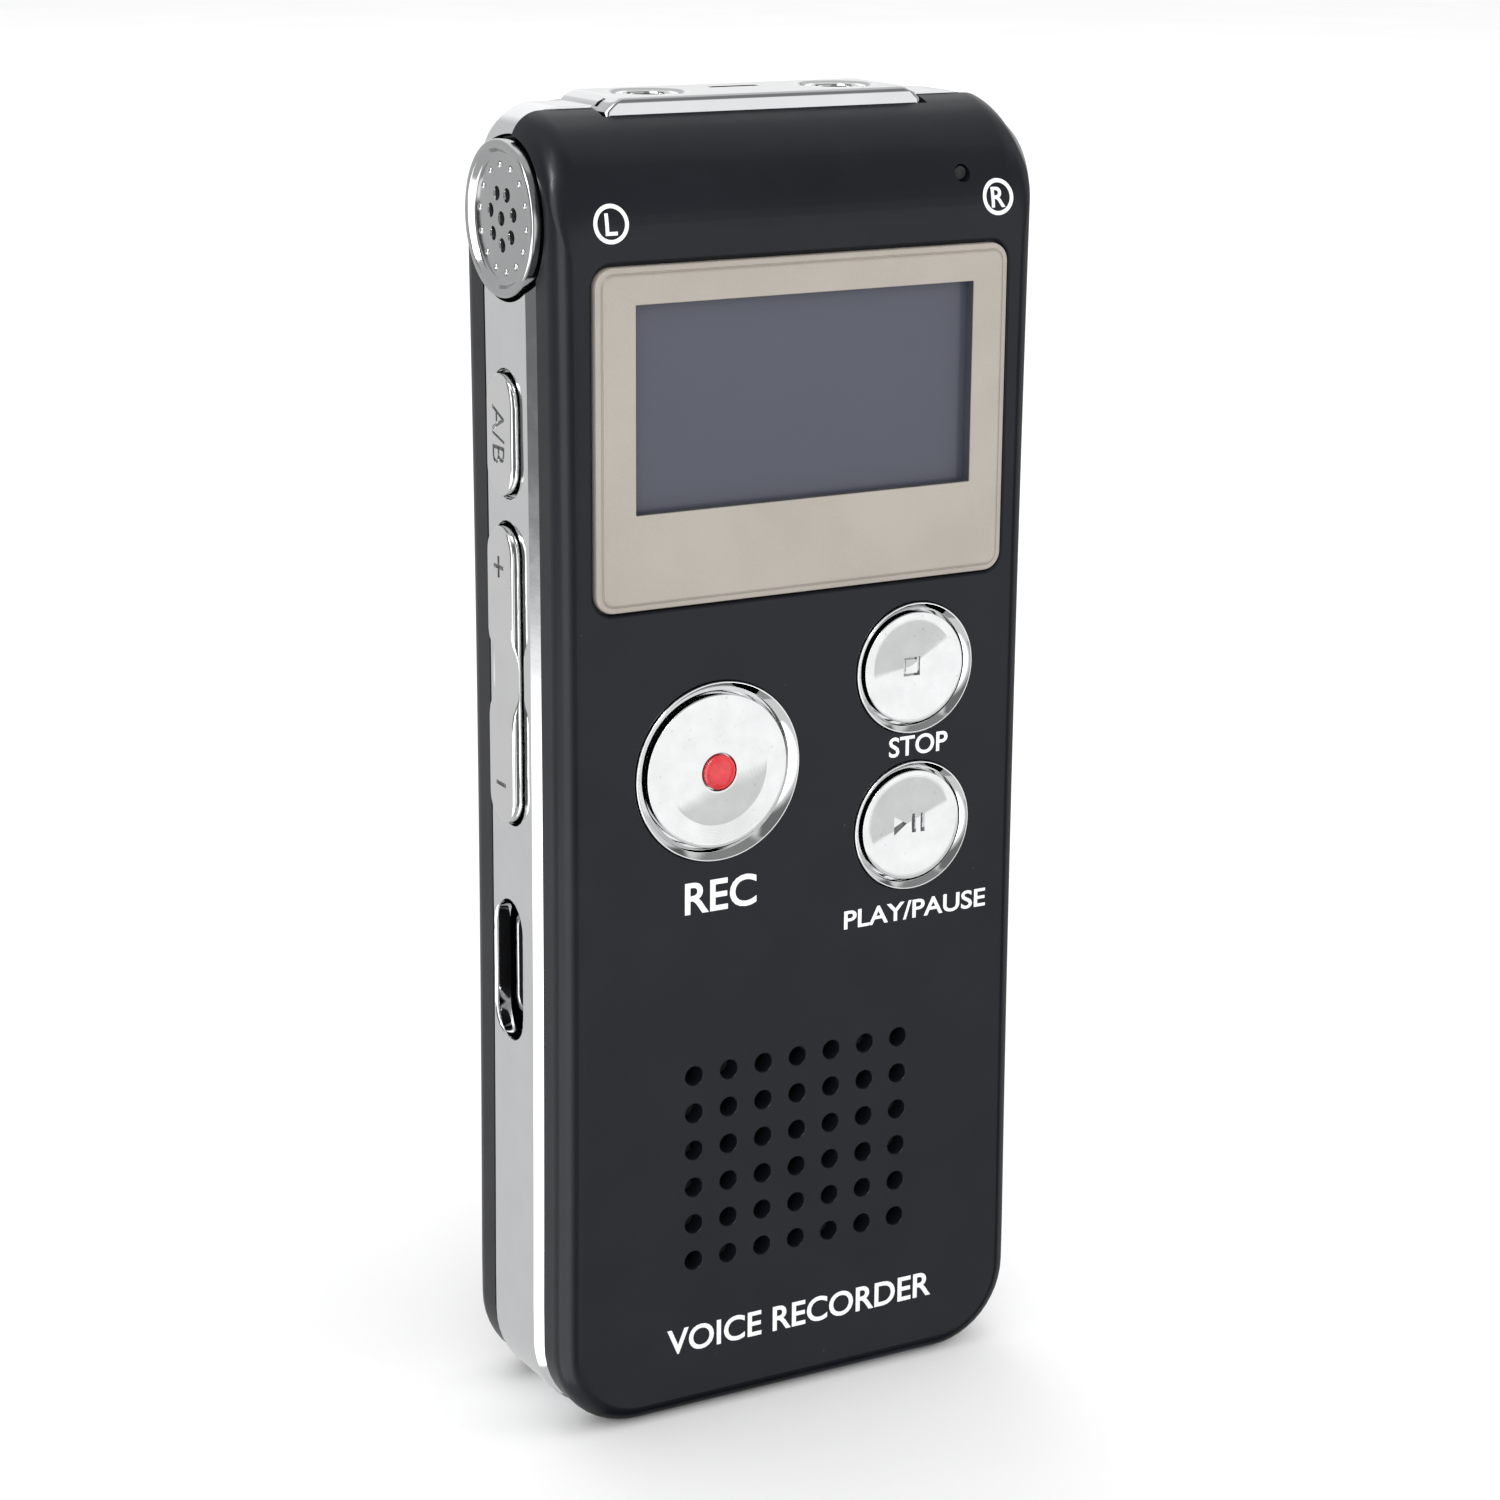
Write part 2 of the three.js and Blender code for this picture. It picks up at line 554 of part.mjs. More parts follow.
// A long rocker: raised at both ends, with a saddle between them.
function sideRocker(side, { z, length, width }) {
  const face = chromeFace(z);
  const shape = new THREE.Shape();
  const end = length / 2;
  const low = flangeInner(face, ROCK_GAP) + 0.1;
  shape.moveTo(-end, low);
  shape.lineTo(end, low);
  shape.lineTo(end, face + 0.2);
  shape.quadraticCurveTo(end, face + 0.7, end - 0.8, face + 0.75);
  shape.lineTo(4.2, face + 0.7);
  shape.bezierCurveTo(2.8, face + 0.6, 2.2, face + 0.2, 0, face + 0.2);
  shape.bezierCurveTo(-2.2, face + 0.2, -2.8, face + 0.6, -4.2, face + 0.7);
  shape.lineTo(0.8 - end, face + 0.75);
  shape.quadraticCurveTo(-end, face + 0.7, -end, face + 0.2);
  const geometry = new THREE.ExtrudeGeometry(shape, {
    depth: width, bevelEnabled: false, curveSegments: 5,
  });
  // The shape's X becomes Z and its Y becomes X, outwards on the chosen side.
  const turn = new THREE.Matrix4().set(
    0, side, 0, 0, 0, 0, 1, FRONT + SIDE_DEPTH - width / 2, 1, 0, 0, z, 0, 0, 0, 1);
  geometry.applyMatrix4(turn);
  const rounded = sideStadium(SIDE_DEPTH, z, width, length, ...onSide(side, low - 1, face + 2));
  return join(flipToOutside(geometry).intersect(rounded),
    sideFlange(side, { z, length, width }, face, ROCK_GAP));
}

// The sliding knob of the power and hold switch, with ribs across it and a foot inside.
function holdSlider() {
  const face = chromeFace(HOLD.z);
  let knob = sideStadium(SIDE_DEPTH, HOLD.z, HOLD.width - 0.5, 5, face - 1.6, face + 0.35);
  for (const rib of [-1, 0, 1]) {
    knob = join(knob, box(face + 0.2, face + 0.7, SIDE_DEPTH - 1.1, SIDE_DEPTH + 1.1,
      HOLD.z + rib * 1.1 - 0.25, HOLD.z + rib * 1.1 + 0.25));
  }
  const foot = box(flangeInner(face, GAP), face - FRAME_WALL - GAP, SIDE_DEPTH - 2.6,
    SIDE_DEPTH + 2.6, HOLD.z - 5.6, HOLD.z + 5.6);
  return join(knob, foot, box(face - 3.6, face - 1.9, SIDE_DEPTH - 0.7, SIDE_DEPTH + 0.7,
    HOLD.z - 0.7, HOLD.z + 0.7));
}

function holdSwitchBody() {
  const body = box(BOARD.half + 0.2, 17.1, 6, 10.6, HOLD.z - 4.6, HOLD.z + 4.6);
  return cut(body, box(16.2, 18, SIDE_DEPTH - 1, SIDE_DEPTH + 1, HOLD.z - 2.9, HOLD.z + 2.9));
}

// A tact switch on the board's edge, facing a side control that is centred at another height.
function edgeSwitch(side, z, control, gap) {
  const reach = flangeInner(chromeFace(control.z), gap) - 0.5;
  const body = box(...onSide(side, BOARD.half + 0.2, reach - 0.7), 6.5, 10.1, z - 2.2, z + 2.2);
  return join(body, crossPin(SIDE_DEPTH, z, 0.8, ...onSide(side, reach - 0.8, reach), 12));
}

// The metal shell of the small data and charging socket, with the contact tongue inside.
function usbSocket() {
  const x0 = -18.6;
  const x1 = -10.2;
  const shell = box(x0, x1, SOCKET.depth - 1.95, SOCKET.depth + 1.95, SOCKET.z - 3.85,
    SOCKET.z + 3.85);
  const hollow = box(x0 - 1, x1 - 1.2, SOCKET.depth - 1.6, SOCKET.depth + 1.6, SOCKET.z - 3.5,
    SOCKET.z + 3.5);
  const tongue = box(x0 + 1.5, x1 - 1, SOCKET.depth - 0.5, SOCKET.depth + 0.3, SOCKET.z - 2.6,
    SOCKET.z + 2.6);
  return join(cut(shell, hollow), tongue);
}

// ---- Microphones -------------------------------------------------------------------------------

function micGrille(side) {
  const bar = (radius, inner, outer, sides) => crossPin(MIC_DEPTH, MIC_Z, radius,
    ...onSide(side, inner, outer), sides);
  let disc = cut(bar(MIC_RADIUS, MIC_SEAT + 0.3, MIC_FACE, 28),
    bar(MIC_RADIUS - 0.6, MIC_FACE - 0.4, 22, 28), bar(3.6, MIC_SEAT, MIC_SEAT + 1.3, 16));
  const ports = [[0, 0]];
  for (let i = 0; i < 7; i += 1) {
    const angle = i / 7 * Math.PI * 2;
    ports.push([1.9 * Math.cos(angle), 1.9 * Math.sin(angle)]);
  }
  for (const [across, up] of ports) {
    disc = cut(disc, crossPin(MIC_DEPTH + across, MIC_Z + up, 0.4,
      ...onSide(side, MIC_SEAT, 22), 6));
  }
  return disc;
}

function micBoot(side) {
  const bar = (radius, inner, outer) => crossPin(MIC_DEPTH, MIC_Z, radius,
    ...onSide(side, inner, outer), 16);
  return cut(bar(MIC_BOOT, 15, MIC_SEAT + 0.8), bar(2.3, 14, MIC_SEAT + 0.2), bar(1.6, 17, 19));
}

function micCapsule(side) {
  const can = crossPin(MIC_DEPTH, MIC_Z, 2.2, ...onSide(side, 15.8, MIC_SEAT + 0.1), 14);
  return cut(can, crossPin(MIC_DEPTH, MIC_Z, 0.5, ...onSide(side, MIC_SEAT - 0.4, 19), 8));
}

// ---- Board, speaker and power ------------------------------------------------------------------

function mainBoard() {
  const { front, back, half, low, high } = BOARD;
  let board = panel(half, low, high, 2, front, back, 3);
  for (const side of [-1, 1]) {
    const x = side * JACK.x;
    board = cut(board, box(x - 3.4, x + 3.4, 0, 20, PLATE.low - 1.8 - JACK.length - 0.3, 100));
  }
  board = cut(board, box(-20, -10, 0, 20, SOCKET.z - 4.1, SOCKET.z + 4.1));
  board = cut(board, box(-20, -14, 0, 20, 7, 12), box(14, 20, 0, 20, 7, 12));
  return board;
}

const speakerGasket = () => turned(SPEAKER.x, SPEAKER.z, [
  [8.6, WALL + 0.1], [10.3, WALL + 0.1], [10.3, 2.2], [8.6, 2.2], [8.6, WALL + 0.1],
], 20);
const speakerFrame = () => turned(SPEAKER.x, SPEAKER.z, [
  [9.3, 2.3], [10.5, 2.3], [10.5, 3.4], [6.4, 5.2], [6.4, 5.6], [5.2, 5.6], [5.2, 5], [9.3, 3.3],
  [9.3, 2.3],
], 20);
const speakerCone = () => turned(SPEAKER.x, SPEAKER.z, [
  [0, 2.9], [3, 3.2], [8.9, 2.5], [8.9, 2.7], [3, 3.5], [0, 3.2],
], 16);
const speakerMagnet = () => turned(SPEAKER.x, SPEAKER.z, [
  [0, 4], [4.9, 4], [4.9, 7], [0, 7],
], 16);

const battery = () => panel(13, 43, 80, 1.2, 9.2, 13.4, 3);
const batteryPad = () => box(-9, 9, 13.5, 14.7, 48, 75);
const processor = () => box(-5, 5, 8.7, 10.1, 18, 28);
const memoryChip = () => box(-5, 7, 8.7, 9.8, 7, 15);
const crystal = () => box(-12, -8, 8.7, 10.7, 20, 22.4);
const statusLed = () => box(12.4, 13.9, 5.9, BOARD.front - 0.05, LED.z - 0.8, LED.z + 0.8);
const lightPipe = () => pin(LED.x, LED.z, LED.radius - 0.15, 1.1, 5.7, 12);

function rearScrew([x, z]) {
  const head = pin(x, z, 1.3, THICK - 1.4, THICK - 0.5, 12);
  const shank = pin(x, z, 0.6, 7, THICK - 1.3, 8);
  const slots = [0, 1].map((turn) => (turn
    ? box(x - 0.2, x + 0.2, THICK - 0.9, THICK, z - 0.8, z + 0.8)
    : box(x - 0.8, x + 0.8, THICK - 0.9, THICK, z - 0.2, z + 0.2)));
  return cut(join(head, shank), ...slots);
}

// ---- Assembly ----------------------------------------------------------------------------------

const recorder = new THREE.Group();
recorder.name = 'voice_recorder';

function add(name, body, look) {
  const mesh = new THREE.Mesh(geometryOf(body), material(look.color, look.roughness,
    look.metalness));
  mesh.name = name;
  recorder.add(mesh);
}

add('front_shell', frontShell(), BLACK);
add('mid_frame', midFrame(), CHROME);
add('rear_shell', rearShell(), BLACK);
add('top_plate', topPlate(), CHROME);
add('microphone_jack', jackSocket(-1), DARK);
add('earphone_jack', jackSocket(1), DARK);

add('display_bezel', displayBezel(), BEIGE);
add('display_lens', displayLens(), GREY_GLASS);
add('lcd_panel', lcdPanel(), GREY_GLASS);
add('lcd_holder', lcdHolder(), WHITE);
add('lcd_ribbon', lcdRibbon(), AMBER);

add('rec_ring', buttonRing(REC), CHROME);
add('stop_ring', buttonRing(STOP), CHROME);
add('play_ring', buttonRing(PLAY), CHROME);
add('rec_button', recButton(), CHROME);
add('rec_dot', recDot(), RED);
add('stop_button', dishedCap(STOP), CHROME);
add('play_button', dishedCap(PLAY), CHROME);
add('rec_switch', frontSwitch(REC), STEEL);
add('stop_switch', frontSwitch(STOP), STEEL);
add('play_switch', frontSwitch(PLAY), STEEL);

add('ab_button', sideButton(-1, AB), CHROME);
add('volume_rocker', sideRocker(-1, VOLUME), CHROME);
add('menu_button', sideButton(1, AB), CHROME);
add('track_rocker', sideRocker(1, VOLUME), CHROME);
add('hold_slider', holdSlider(), CHROME);
add('hold_switch_body', holdSwitchBody(), STEEL);
add('ab_switch', edgeSwitch(-1, AB.z, AB, GAP), STEEL);
add('menu_switch', edgeSwitch(1, AB.z, AB, GAP), STEEL);
add('volume_up_switch', edgeSwitch(-1, VOLUME.z + ROCKER_ARM, VOLUME, ROCK_GAP), STEEL);
add('volume_down_switch', edgeSwitch(-1, VOLUME.z - ROCKER_ARM, VOLUME, ROCK_GAP), STEEL);
add('next_switch', edgeSwitch(1, VOLUME.z + ROCKER_ARM, VOLUME, ROCK_GAP), STEEL);
add('previous_switch', edgeSwitch(1, VOLUME.z - ROCKER_ARM, VOLUME, ROCK_GAP), STEEL);
add('usb_socket', usbSocket(), STEEL);

for (const [name, side] of [['left', -1], ['right', 1]]) {
  add(`${name}_mic_grille`, micGrille(side), CHROME);
  add(`${name}_mic_boot`, micBoot(side), RUBBER);
  add(`${name}_mic_capsule`, micCapsule(side), STEEL);
}

add('main_board', mainBoard(), GREEN);
add('processor_chip', processor(), DARK);
add('memory_chip', memoryChip(), DARK);
add('crystal', crystal(), STEEL);
add('status_led', statusLed(), WHITE);
add('light_pipe', lightPipe(), WHITE);
add('speaker_gasket', speakerGasket(), RUBBER);
add('speaker_frame', speakerFrame(), STEEL);
add('speaker_cone', speakerCone(), DARK);
add('speaker_magnet', speakerMagnet(), STEEL);
add('battery', battery(), SILVER);
add('battery_pad', batteryPad(), RUBBER);
SCREWS.forEach((place, i) => add(`rear_screw_${i + 1}`, rearScrew(place), STEEL));

export default recorder;
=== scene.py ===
import math

import bmesh
import bpy
from mathutils import Matrix, Vector


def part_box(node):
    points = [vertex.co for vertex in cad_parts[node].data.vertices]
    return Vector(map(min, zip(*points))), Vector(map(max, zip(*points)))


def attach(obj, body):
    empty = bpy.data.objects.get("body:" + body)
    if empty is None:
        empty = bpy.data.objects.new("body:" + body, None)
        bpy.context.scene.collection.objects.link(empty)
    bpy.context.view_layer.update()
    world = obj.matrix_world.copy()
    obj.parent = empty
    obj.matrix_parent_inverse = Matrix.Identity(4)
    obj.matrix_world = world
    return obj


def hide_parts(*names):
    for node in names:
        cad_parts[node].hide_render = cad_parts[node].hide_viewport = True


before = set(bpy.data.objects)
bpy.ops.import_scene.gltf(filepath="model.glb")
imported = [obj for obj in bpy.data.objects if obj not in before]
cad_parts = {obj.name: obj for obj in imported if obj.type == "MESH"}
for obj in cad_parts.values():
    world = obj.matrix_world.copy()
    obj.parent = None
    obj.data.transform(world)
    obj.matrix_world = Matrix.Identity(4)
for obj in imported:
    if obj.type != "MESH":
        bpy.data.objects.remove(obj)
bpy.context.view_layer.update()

# Everything below is in millimetres: X, depth behind the front plane, and Z. `place` turns that
# into the frame's metres.
MM = 0.001
QUARTER = math.pi / 2


def extent(node):
    """Lowest and highest corner of a CAD node in millimetres."""
    low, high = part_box(node)
    return low / MM, high / MM


# ---- Sizes that the frame gives ----

FRONT = extent("front_shell")[0].y
HALF = extent("front_shell")[1].x
CHROME_HALF = extent("mid_frame")[1].x
TOP = extent("mid_frame")[1].z
THICK = extent("rear_shell")[1].y - FRONT


def place(x, depth, z):
    return Vector((x, FRONT + depth, z)) * MM


def span(node):
    """Middle and half size of a node: X, depth, Z."""
    low, high = extent(node)
    middle, half = (low + high) / 2, (high - low) / 2
    return Vector((middle.x, middle.y - FRONT, middle.z)), half


def edges(node):
    """Depths of a node's front and back, and heights of its foot and top."""
    middle, half = span(node)
    return middle.y - half.y, middle.y + half.y, middle.z - half.z, middle.z + half.z


# ---- Sizes of the real recorder ----

WAIST, WAIST_Z, WAIST_REACH = 0.27, 55.0, 45.0
WALL, FRAME_WALL, GAP = 1.6, 1.2, 0.15
CORNER_LOW, CORNER_HIGH, CHROME_CORNER = 6.6, 2.4, 4.2
EDGE, BACK_EDGE, ROLL, BACK_ROLL, BACK_CORNER = 1.8, 2.4, 9.0, 4.0, 6.5
SIDE_SEAM, TOP_SEAM, REAR_SEAM = 3.5, 7.2, 12.2
CHAMFER, CHAMFER_DEPTH = 0.6, 1.1
SIDE_DEPTH = 8.3
SCREW_PLACES = [(-16.6, 9.5), (16.6, 9.5), (-17, 83), (17, 83)]
HOLES = {"columns": 7, "rows": 6, "pitch": 3.0, "radius": 0.75, "z": 20.2}
WINDOW = {"half": 14.05, "low": 71.2, "high": 86.2}
BEZEL_CORNER = 1.4
MIC_FLOOR = 15.5
BEYOND = 25  # clear of both sides
THROUGH = WALL + 1.5  # clear of the front wall's inner face
SHARP_DEGREES = 32
BOLD, INK_FRONT, INK_BACK = 0.016, -0.006, 0.02


def waist(z):
    """How far a side draws in at a height."""
    return max(0.0, WAIST * (1 - ((z - WAIST_Z) / WAIST_REACH) ** 2))


def rounding(radius, distance):
    """How far a rounded edge stands back from full size, at a distance from its face."""
    if distance >= radius:
        return 0.0
    return radius - math.sqrt(radius ** 2 - (radius - distance) ** 2)


def chrome_face(z):
    return CHROME_HALF - waist(z)


# ---- Forms: (points, faces) in millimetres ----

def skin(loops, ring=False):
    """A closed form through equal loops. `ring` joins the last loop to the first."""
    count, rows = len(loops[0]), len(loops)
    points = [point for loop in loops for point in loop]
    faces = []
    for row in range(rows if ring else rows - 1):
        near, far = row * count, (row + 1) % rows * count
        for i in range(count):
            j = (i + 1) % count
            faces.append((near + i, near + j, far + j, far + i))
    if not ring:
        faces.append(tuple(reversed(range(count))))
        faces.append(tuple(range((rows - 1) * count, rows * count)))
    return points, faces


def lathe(profile, to_point, sides=72, ring=False):
    """A turned form. The profile is (radius, height), and to_point maps across, up, height."""
    poles = [] if ring else [profile[i] for i in (0, -1) if profile[i][0] == 0]
    kept = [step for step in profile if step[0] > 0]
    turns = [i / sides * 2 * math.pi for i in range(sides)]
    loops = [[to_point(radius * math.cos(a), radius * math.sin(a), height) for a in turns]
        for radius, height in kept]
    points, faces = skin(loops, ring)
    if poles and profile[0][0] == 0:
        faces = [f for f in faces if f != tuple(reversed(range(sides)))]
        points.append(to_point(0, 0, profile[0][1]))
        faces += [(len(points) - 1, (i + 1) % sides, i) for i in range(sides)]
    if poles and profile[-1][0] == 0:
        first = (len(kept) - 1) * sides
        faces = [f for f in faces if f != tuple(range(first, first + sides))]
        points.append(to_point(0, 0, profile[-1][1]))
        faces += [(len(points) - 1, first + i, first + (i + 1) % sides) for i in range(sides)]
    return points, faces


def facing_front(x, z):
    """Turns about an axis along the depth; heights are depths."""
    return lambda across, up, height: (x + across, height, z + up)


def facing_side(side, depth, z):
    """Turns about an axis along X; heights are X, outwards on that side."""
    return lambda across, up, height: (side * height, depth + across, z + up)


def facing_up(x, depth):
    """Turns about an upright axis; heights are Z."""
    return lambda across, up, height: (x + across, depth + up, height)


def softened(corners, steps=4, ring=False):
    """A profile whose corners, each (across, along, radius), are rounded off."""
    path = []
    for i, (across, along, radius) in enumerate(corners):
        last = i in (0, len(corners) - 1) and not ring
        if last or radius == 0:
            path.append((across, along))
            continue
        point = Vector((across, along))
        before = Vector(corners[i - 1][:2]) - point
        after = Vector(corners[(i + 1) % len(corners)][:2]) - point
        reach = radius / math.tan(before.angle(after) / 2)
        reach = min(reach, 0.49 * before.length, 0.49 * after.length)
        start, end = point + before.normalized() * reach, point + after.normalized() * reach
        for k in range(steps + 1):
            t = k / steps
            mixed = start * (1 - t) ** 2 + point * 2 * t * (1 - t) + end * t * t
            path.append((mixed.x, mixed.y))
    return path


def at_depth(loop, depth):
    return [(x, depth, z) for x, z in loop]


def prism(loop, depth0, depth1):
    return skin([at_depth(loop, depth) for depth in (depth0, depth1)])


def block(x0, x1, depth0, depth1, z0, z1):
    return prism([(x0, z0), (x1, z0), (x1, z1), (x0, z1)], depth0, depth1)


def bar(x0, x1, depth, half_depth, z, half_z):
    """A block from x0 to x1 about a depth and a height."""
    return block(x0, x1, depth - half_depth, depth + half_depth, z - half_z, z + half_z)


def rod(radius, low, high, to_point, sides=72):
    return lathe([(0, low), (radius, low), (radius, high), (0, high)], to_point, sides)


def rounded_rectangle(half_x, z0, z1, radius, arc=8):
    points = []
    for cx, cz, start in ((half_x - radius, z0 + radius, -1), (half_x - radius, z1 - radius, 0),
            (radius - half_x, z1 - radius, 1), (radius - half_x, z0 + radius, 2)):
        for i in range(arc + 1):
            angle = (start + i / arc) * QUARTER
            points.append((cx + radius * math.cos(angle), cz + radius * math.sin(angle)))
    return points


def front_loops(steps, half_x, low, high, radius, least=0.0):
    """Rounded rectangles facing the front, one for each (inset, depth)."""
    return [at_depth(rounded_rectangle(half_x - inset, low + inset, high - inset,
        max(radius - inset, least)), depth) for inset, depth in steps]


def stadium(radius, straight, arc=12, side=1):
    """Points (across, along) round a shape with two round ends, `straight` from its middle."""
    points = []
    for end in (1, -1):
        for i in range(arc + 1):
            angle = (i / arc) * math.pi + (0 if end > 0 else math.pi)
            points.append((radius * math.cos(angle), end * straight + radius * math.sin(angle)))
        for i in range(1, side):
            points.append((-end * radius, end * straight * (1 - 2 * i / side)))
    return points


def merged(*forms):
    points, faces = [], []
    for more_points, more_faces in forms:
        start = len(points)
        points += more_points
        faces += [tuple(start + i for i in face) for face in more_faces]
    return points, faces


def bare_mesh(form, scale=None):
    mesh = bpy.data.meshes.new("form")
    points = form[0] if scale is None else [scale(*point) for point in form[0]]
    mesh.from_pydata(points, [], form[1])
    shape = bmesh.new()
    shape.from_mesh(mesh)
    near = 1e-5 if scale is None else 1e-8
    bmesh.ops.remove_doubles(shape, verts=shape.verts, dist=near)
    bmesh.ops.recalc_face_normals(shape, faces=shape.faces)
    shape.to_mesh(mesh)
    shape.free()
    return mesh


def linked(name, data):
    """A new object in the scene."""
    made = bpy.data.objects.new(name, data)
    bpy.context.scene.collection.objects.link(made)
    return made


def evaluated(made):
    """The form of an object with its modifiers or its curve worked out."""
    graph = bpy.context.evaluated_depsgraph_get()
    mesh = bpy.data.meshes.new_from_object(made.evaluated_get(graph), depsgraph=graph)
    form = ([tuple(v.co) for v in mesh.vertices], [tuple(p.vertices) for p in mesh.polygons])
    bpy.data.meshes.remove(mesh)
    return form


def boolean(base, tool, operation):
    """The base with the tool cut from it, or joined to it, by Blender's exact solver."""
    made = [linked("form", bare_mesh(form)) for form in (base, tool)]
    step = made[0].modifiers.new("step", "BOOLEAN")
    step.object, step.operation, step.solver = made[1], operation, "EXACT"
    form = evaluated(made[0])
    for obj in made:
        mesh = obj.data
        bpy.data.objects.remove(obj)
        bpy.data.meshes.remove(mesh)
    return form


def cut(base, *tools):
    return boolean(base, merged(*tools), "DIFFERENCE")


def fuse(base, *tools):
    return boolean(base, merged(*tools), "UNION")


def finished(name, form, body, material, replaces=()):
    """Turns a form into a piece that rides on a body and stands for its CAD node."""
    mesh = bare_mesh(form, place)
    mesh.name = name
    mesh.shade_smooth()
    mesh.set_sharp_from_angle(angle=math.radians(SHARP_DEGREES))
    mesh.materials.append(material)
    piece = linked(name, mesh)
    even = piece.modifiers.new("even_normals", "WEIGHTED_NORMAL")
    even.keep_sharp = True
    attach(piece, body)
    if replaces:
        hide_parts(*replaces)
    return piece


def paint_where(piece, material, chosen):
    """A second material on the faces whose middles, (x, depth, z), are chosen."""
    piece.data.materials.append(material)
    for face in piece.data.polygons:
        x, y, z = face.center / MM
        if chosen(x, y - FRONT, z):
            face.material_index = 1


# ---- Materials ----

class Nodes:
    """Helpers for a node tree. Numbers and other nodes' outputs can both be passed."""

    def put(self, node, inputs):
        for key, value in inputs.items():
            if isinstance(value, bpy.types.NodeSocket):
                self.tree.links.new(value, node.inputs[key])
            else:
                node.inputs[key].default_value = value

    def add(self, kind, inputs=None, **values):
        node = self.tree.nodes.new(kind)
        for key, value in values.items():
            setattr(node, key, value)
        self.put(node, inputs or {})
        return node.outputs

    def xyz(self, vector):
        return self.add("ShaderNodeSeparateXYZ", {0: vector})

    def maths(self, operation, *values):
        return self.add("ShaderNodeMath", dict(enumerate(values)), operation=operation)[0]

    def times(self, first, second):
        return self.maths("MULTIPLY", first, second)

    def plus(self, first, second):
        return self.maths("ADD", first, second)


class Look(Nodes):
    """A Principled material with helpers for patterns in the object's own millimetres."""

    def __init__(self, name, colour, roughness, metallic=0.0, specular=0.5, coat=0.0):
        self.material = bpy.data.materials.new(name)
        self.material.use_nodes = True
        self.tree = self.material.node_tree
        self.shader = next(n for n in self.tree.nodes if n.type == "BSDF_PRINCIPLED")
        self.colour, self.roughness = colour, roughness
        self.shade({"Base Color": (*colour, 1), "Roughness": roughness, "Metallic": metallic,
            "Specular IOR Level": specular, "Coat Weight": coat, "Coat Roughness": 0.08})
        where = self.add("ShaderNodeTexCoord")["Object"]
        self.millimetres = self.add("ShaderNodeVectorMath", operation="SCALE",
            inputs={0: where, "Scale": 1 / MM})[0]

    def shade(self, inputs):
        self.put(self.shader, inputs)
        return self

    def noise(self, size, detail=2.0):
        """A noise whose features are about `size` millimetres, from 0 to 1."""
        return self.add("ShaderNodeTexNoise", {"Vector": self.millimetres, "Scale": 1 / size,
            "Detail": detail})["Fac"]

    def ranged(self, value, low, high, to_low=0.0, to_high=1.0):
        return self.add("ShaderNodeMapRange", {
            "Value": value, "From Min": low, "From Max": high, "To Min": to_low,
            "To Max": to_high})["Result"]

    def mixed(self, share, first, second):
        """A colour between two, each a tuple or another node's output."""
        first, second = ((*colour, 1) if isinstance(colour, tuple) else colour
            for colour in (first, second))
        return self.add("ShaderNodeMix", data_type="RGBA",
            inputs={0: share, 6: first, 7: second})[2]

    def tone(self, size, spread):
        """Base colour that varies by a share `spread` either way."""
        low = tuple(c * (1 - spread) for c in self.colour)
        high = tuple(min(1.0, c * (1 + spread)) for c in self.colour)
        return self.mixed(self.ranged(self.noise(size, 3.0), 0.3, 0.7), low, high)

    def paint(self, colour):
        return self.shade({"Base Color": colour})

    def gloss(self, size, spread):
        """Roughness that varies by `spread` either way."""
        return self.shade({"Roughness": self.ranged(
            self.noise(size, 3.0), 0.3, 0.7, self.roughness - spread, self.roughness + spread)})

    def grain(self, height, depth_mm, strength):
        return self.shade({"Normal": self.add("ShaderNodeBump", {
            "Height": height, "Strength": strength, "Distance": depth_mm * MM})[0]})

    def specks(self, size, share):
        """Round spots about `size` across a cell, as a mask from 0 to 1."""
        away = self.add("ShaderNodeTexVoronoi", {"Vector": self.millimetres, "Scale": 1 / size})
        return self.ranged(away["Distance"], share, share * 0.5)


def shell_look():
    look = Look("soft_touch_black", (0.0083, 0.0092, 0.0128), 0.42, specular=0.12, coat=0.3)
    look.shade({"Coat Roughness": 0.2})
    dust = look.times(look.specks(2.3, 0.035), look.ranged(look.noise(9.0), 0.55, 0.7))
    look.paint(look.mixed(look.times(dust, 0.5), look.tone(7.0, 0.12), (0.2, 0.2, 0.2)))
    look.gloss(5.0, 0.035)
    return look.grain(look.noise(0.09, 1.0), 0.006, 0.35).material


def chrome_look(name, shade, roughness=0.07, wave=0.0015):
    """Bright plating on moulded plastic: faintly wavy, with fine pits."""
    look = Look(name, shade, roughness, metallic=1.0)
    look.paint(look.tone(3.0, 0.02))
    look.gloss(1.2, 0.025)
    height = look.plus(look.noise(2.6, 1.0), look.times(look.noise(0.25, 2.0), 0.1))
    return look.grain(height, wave * 10, 0.25).material


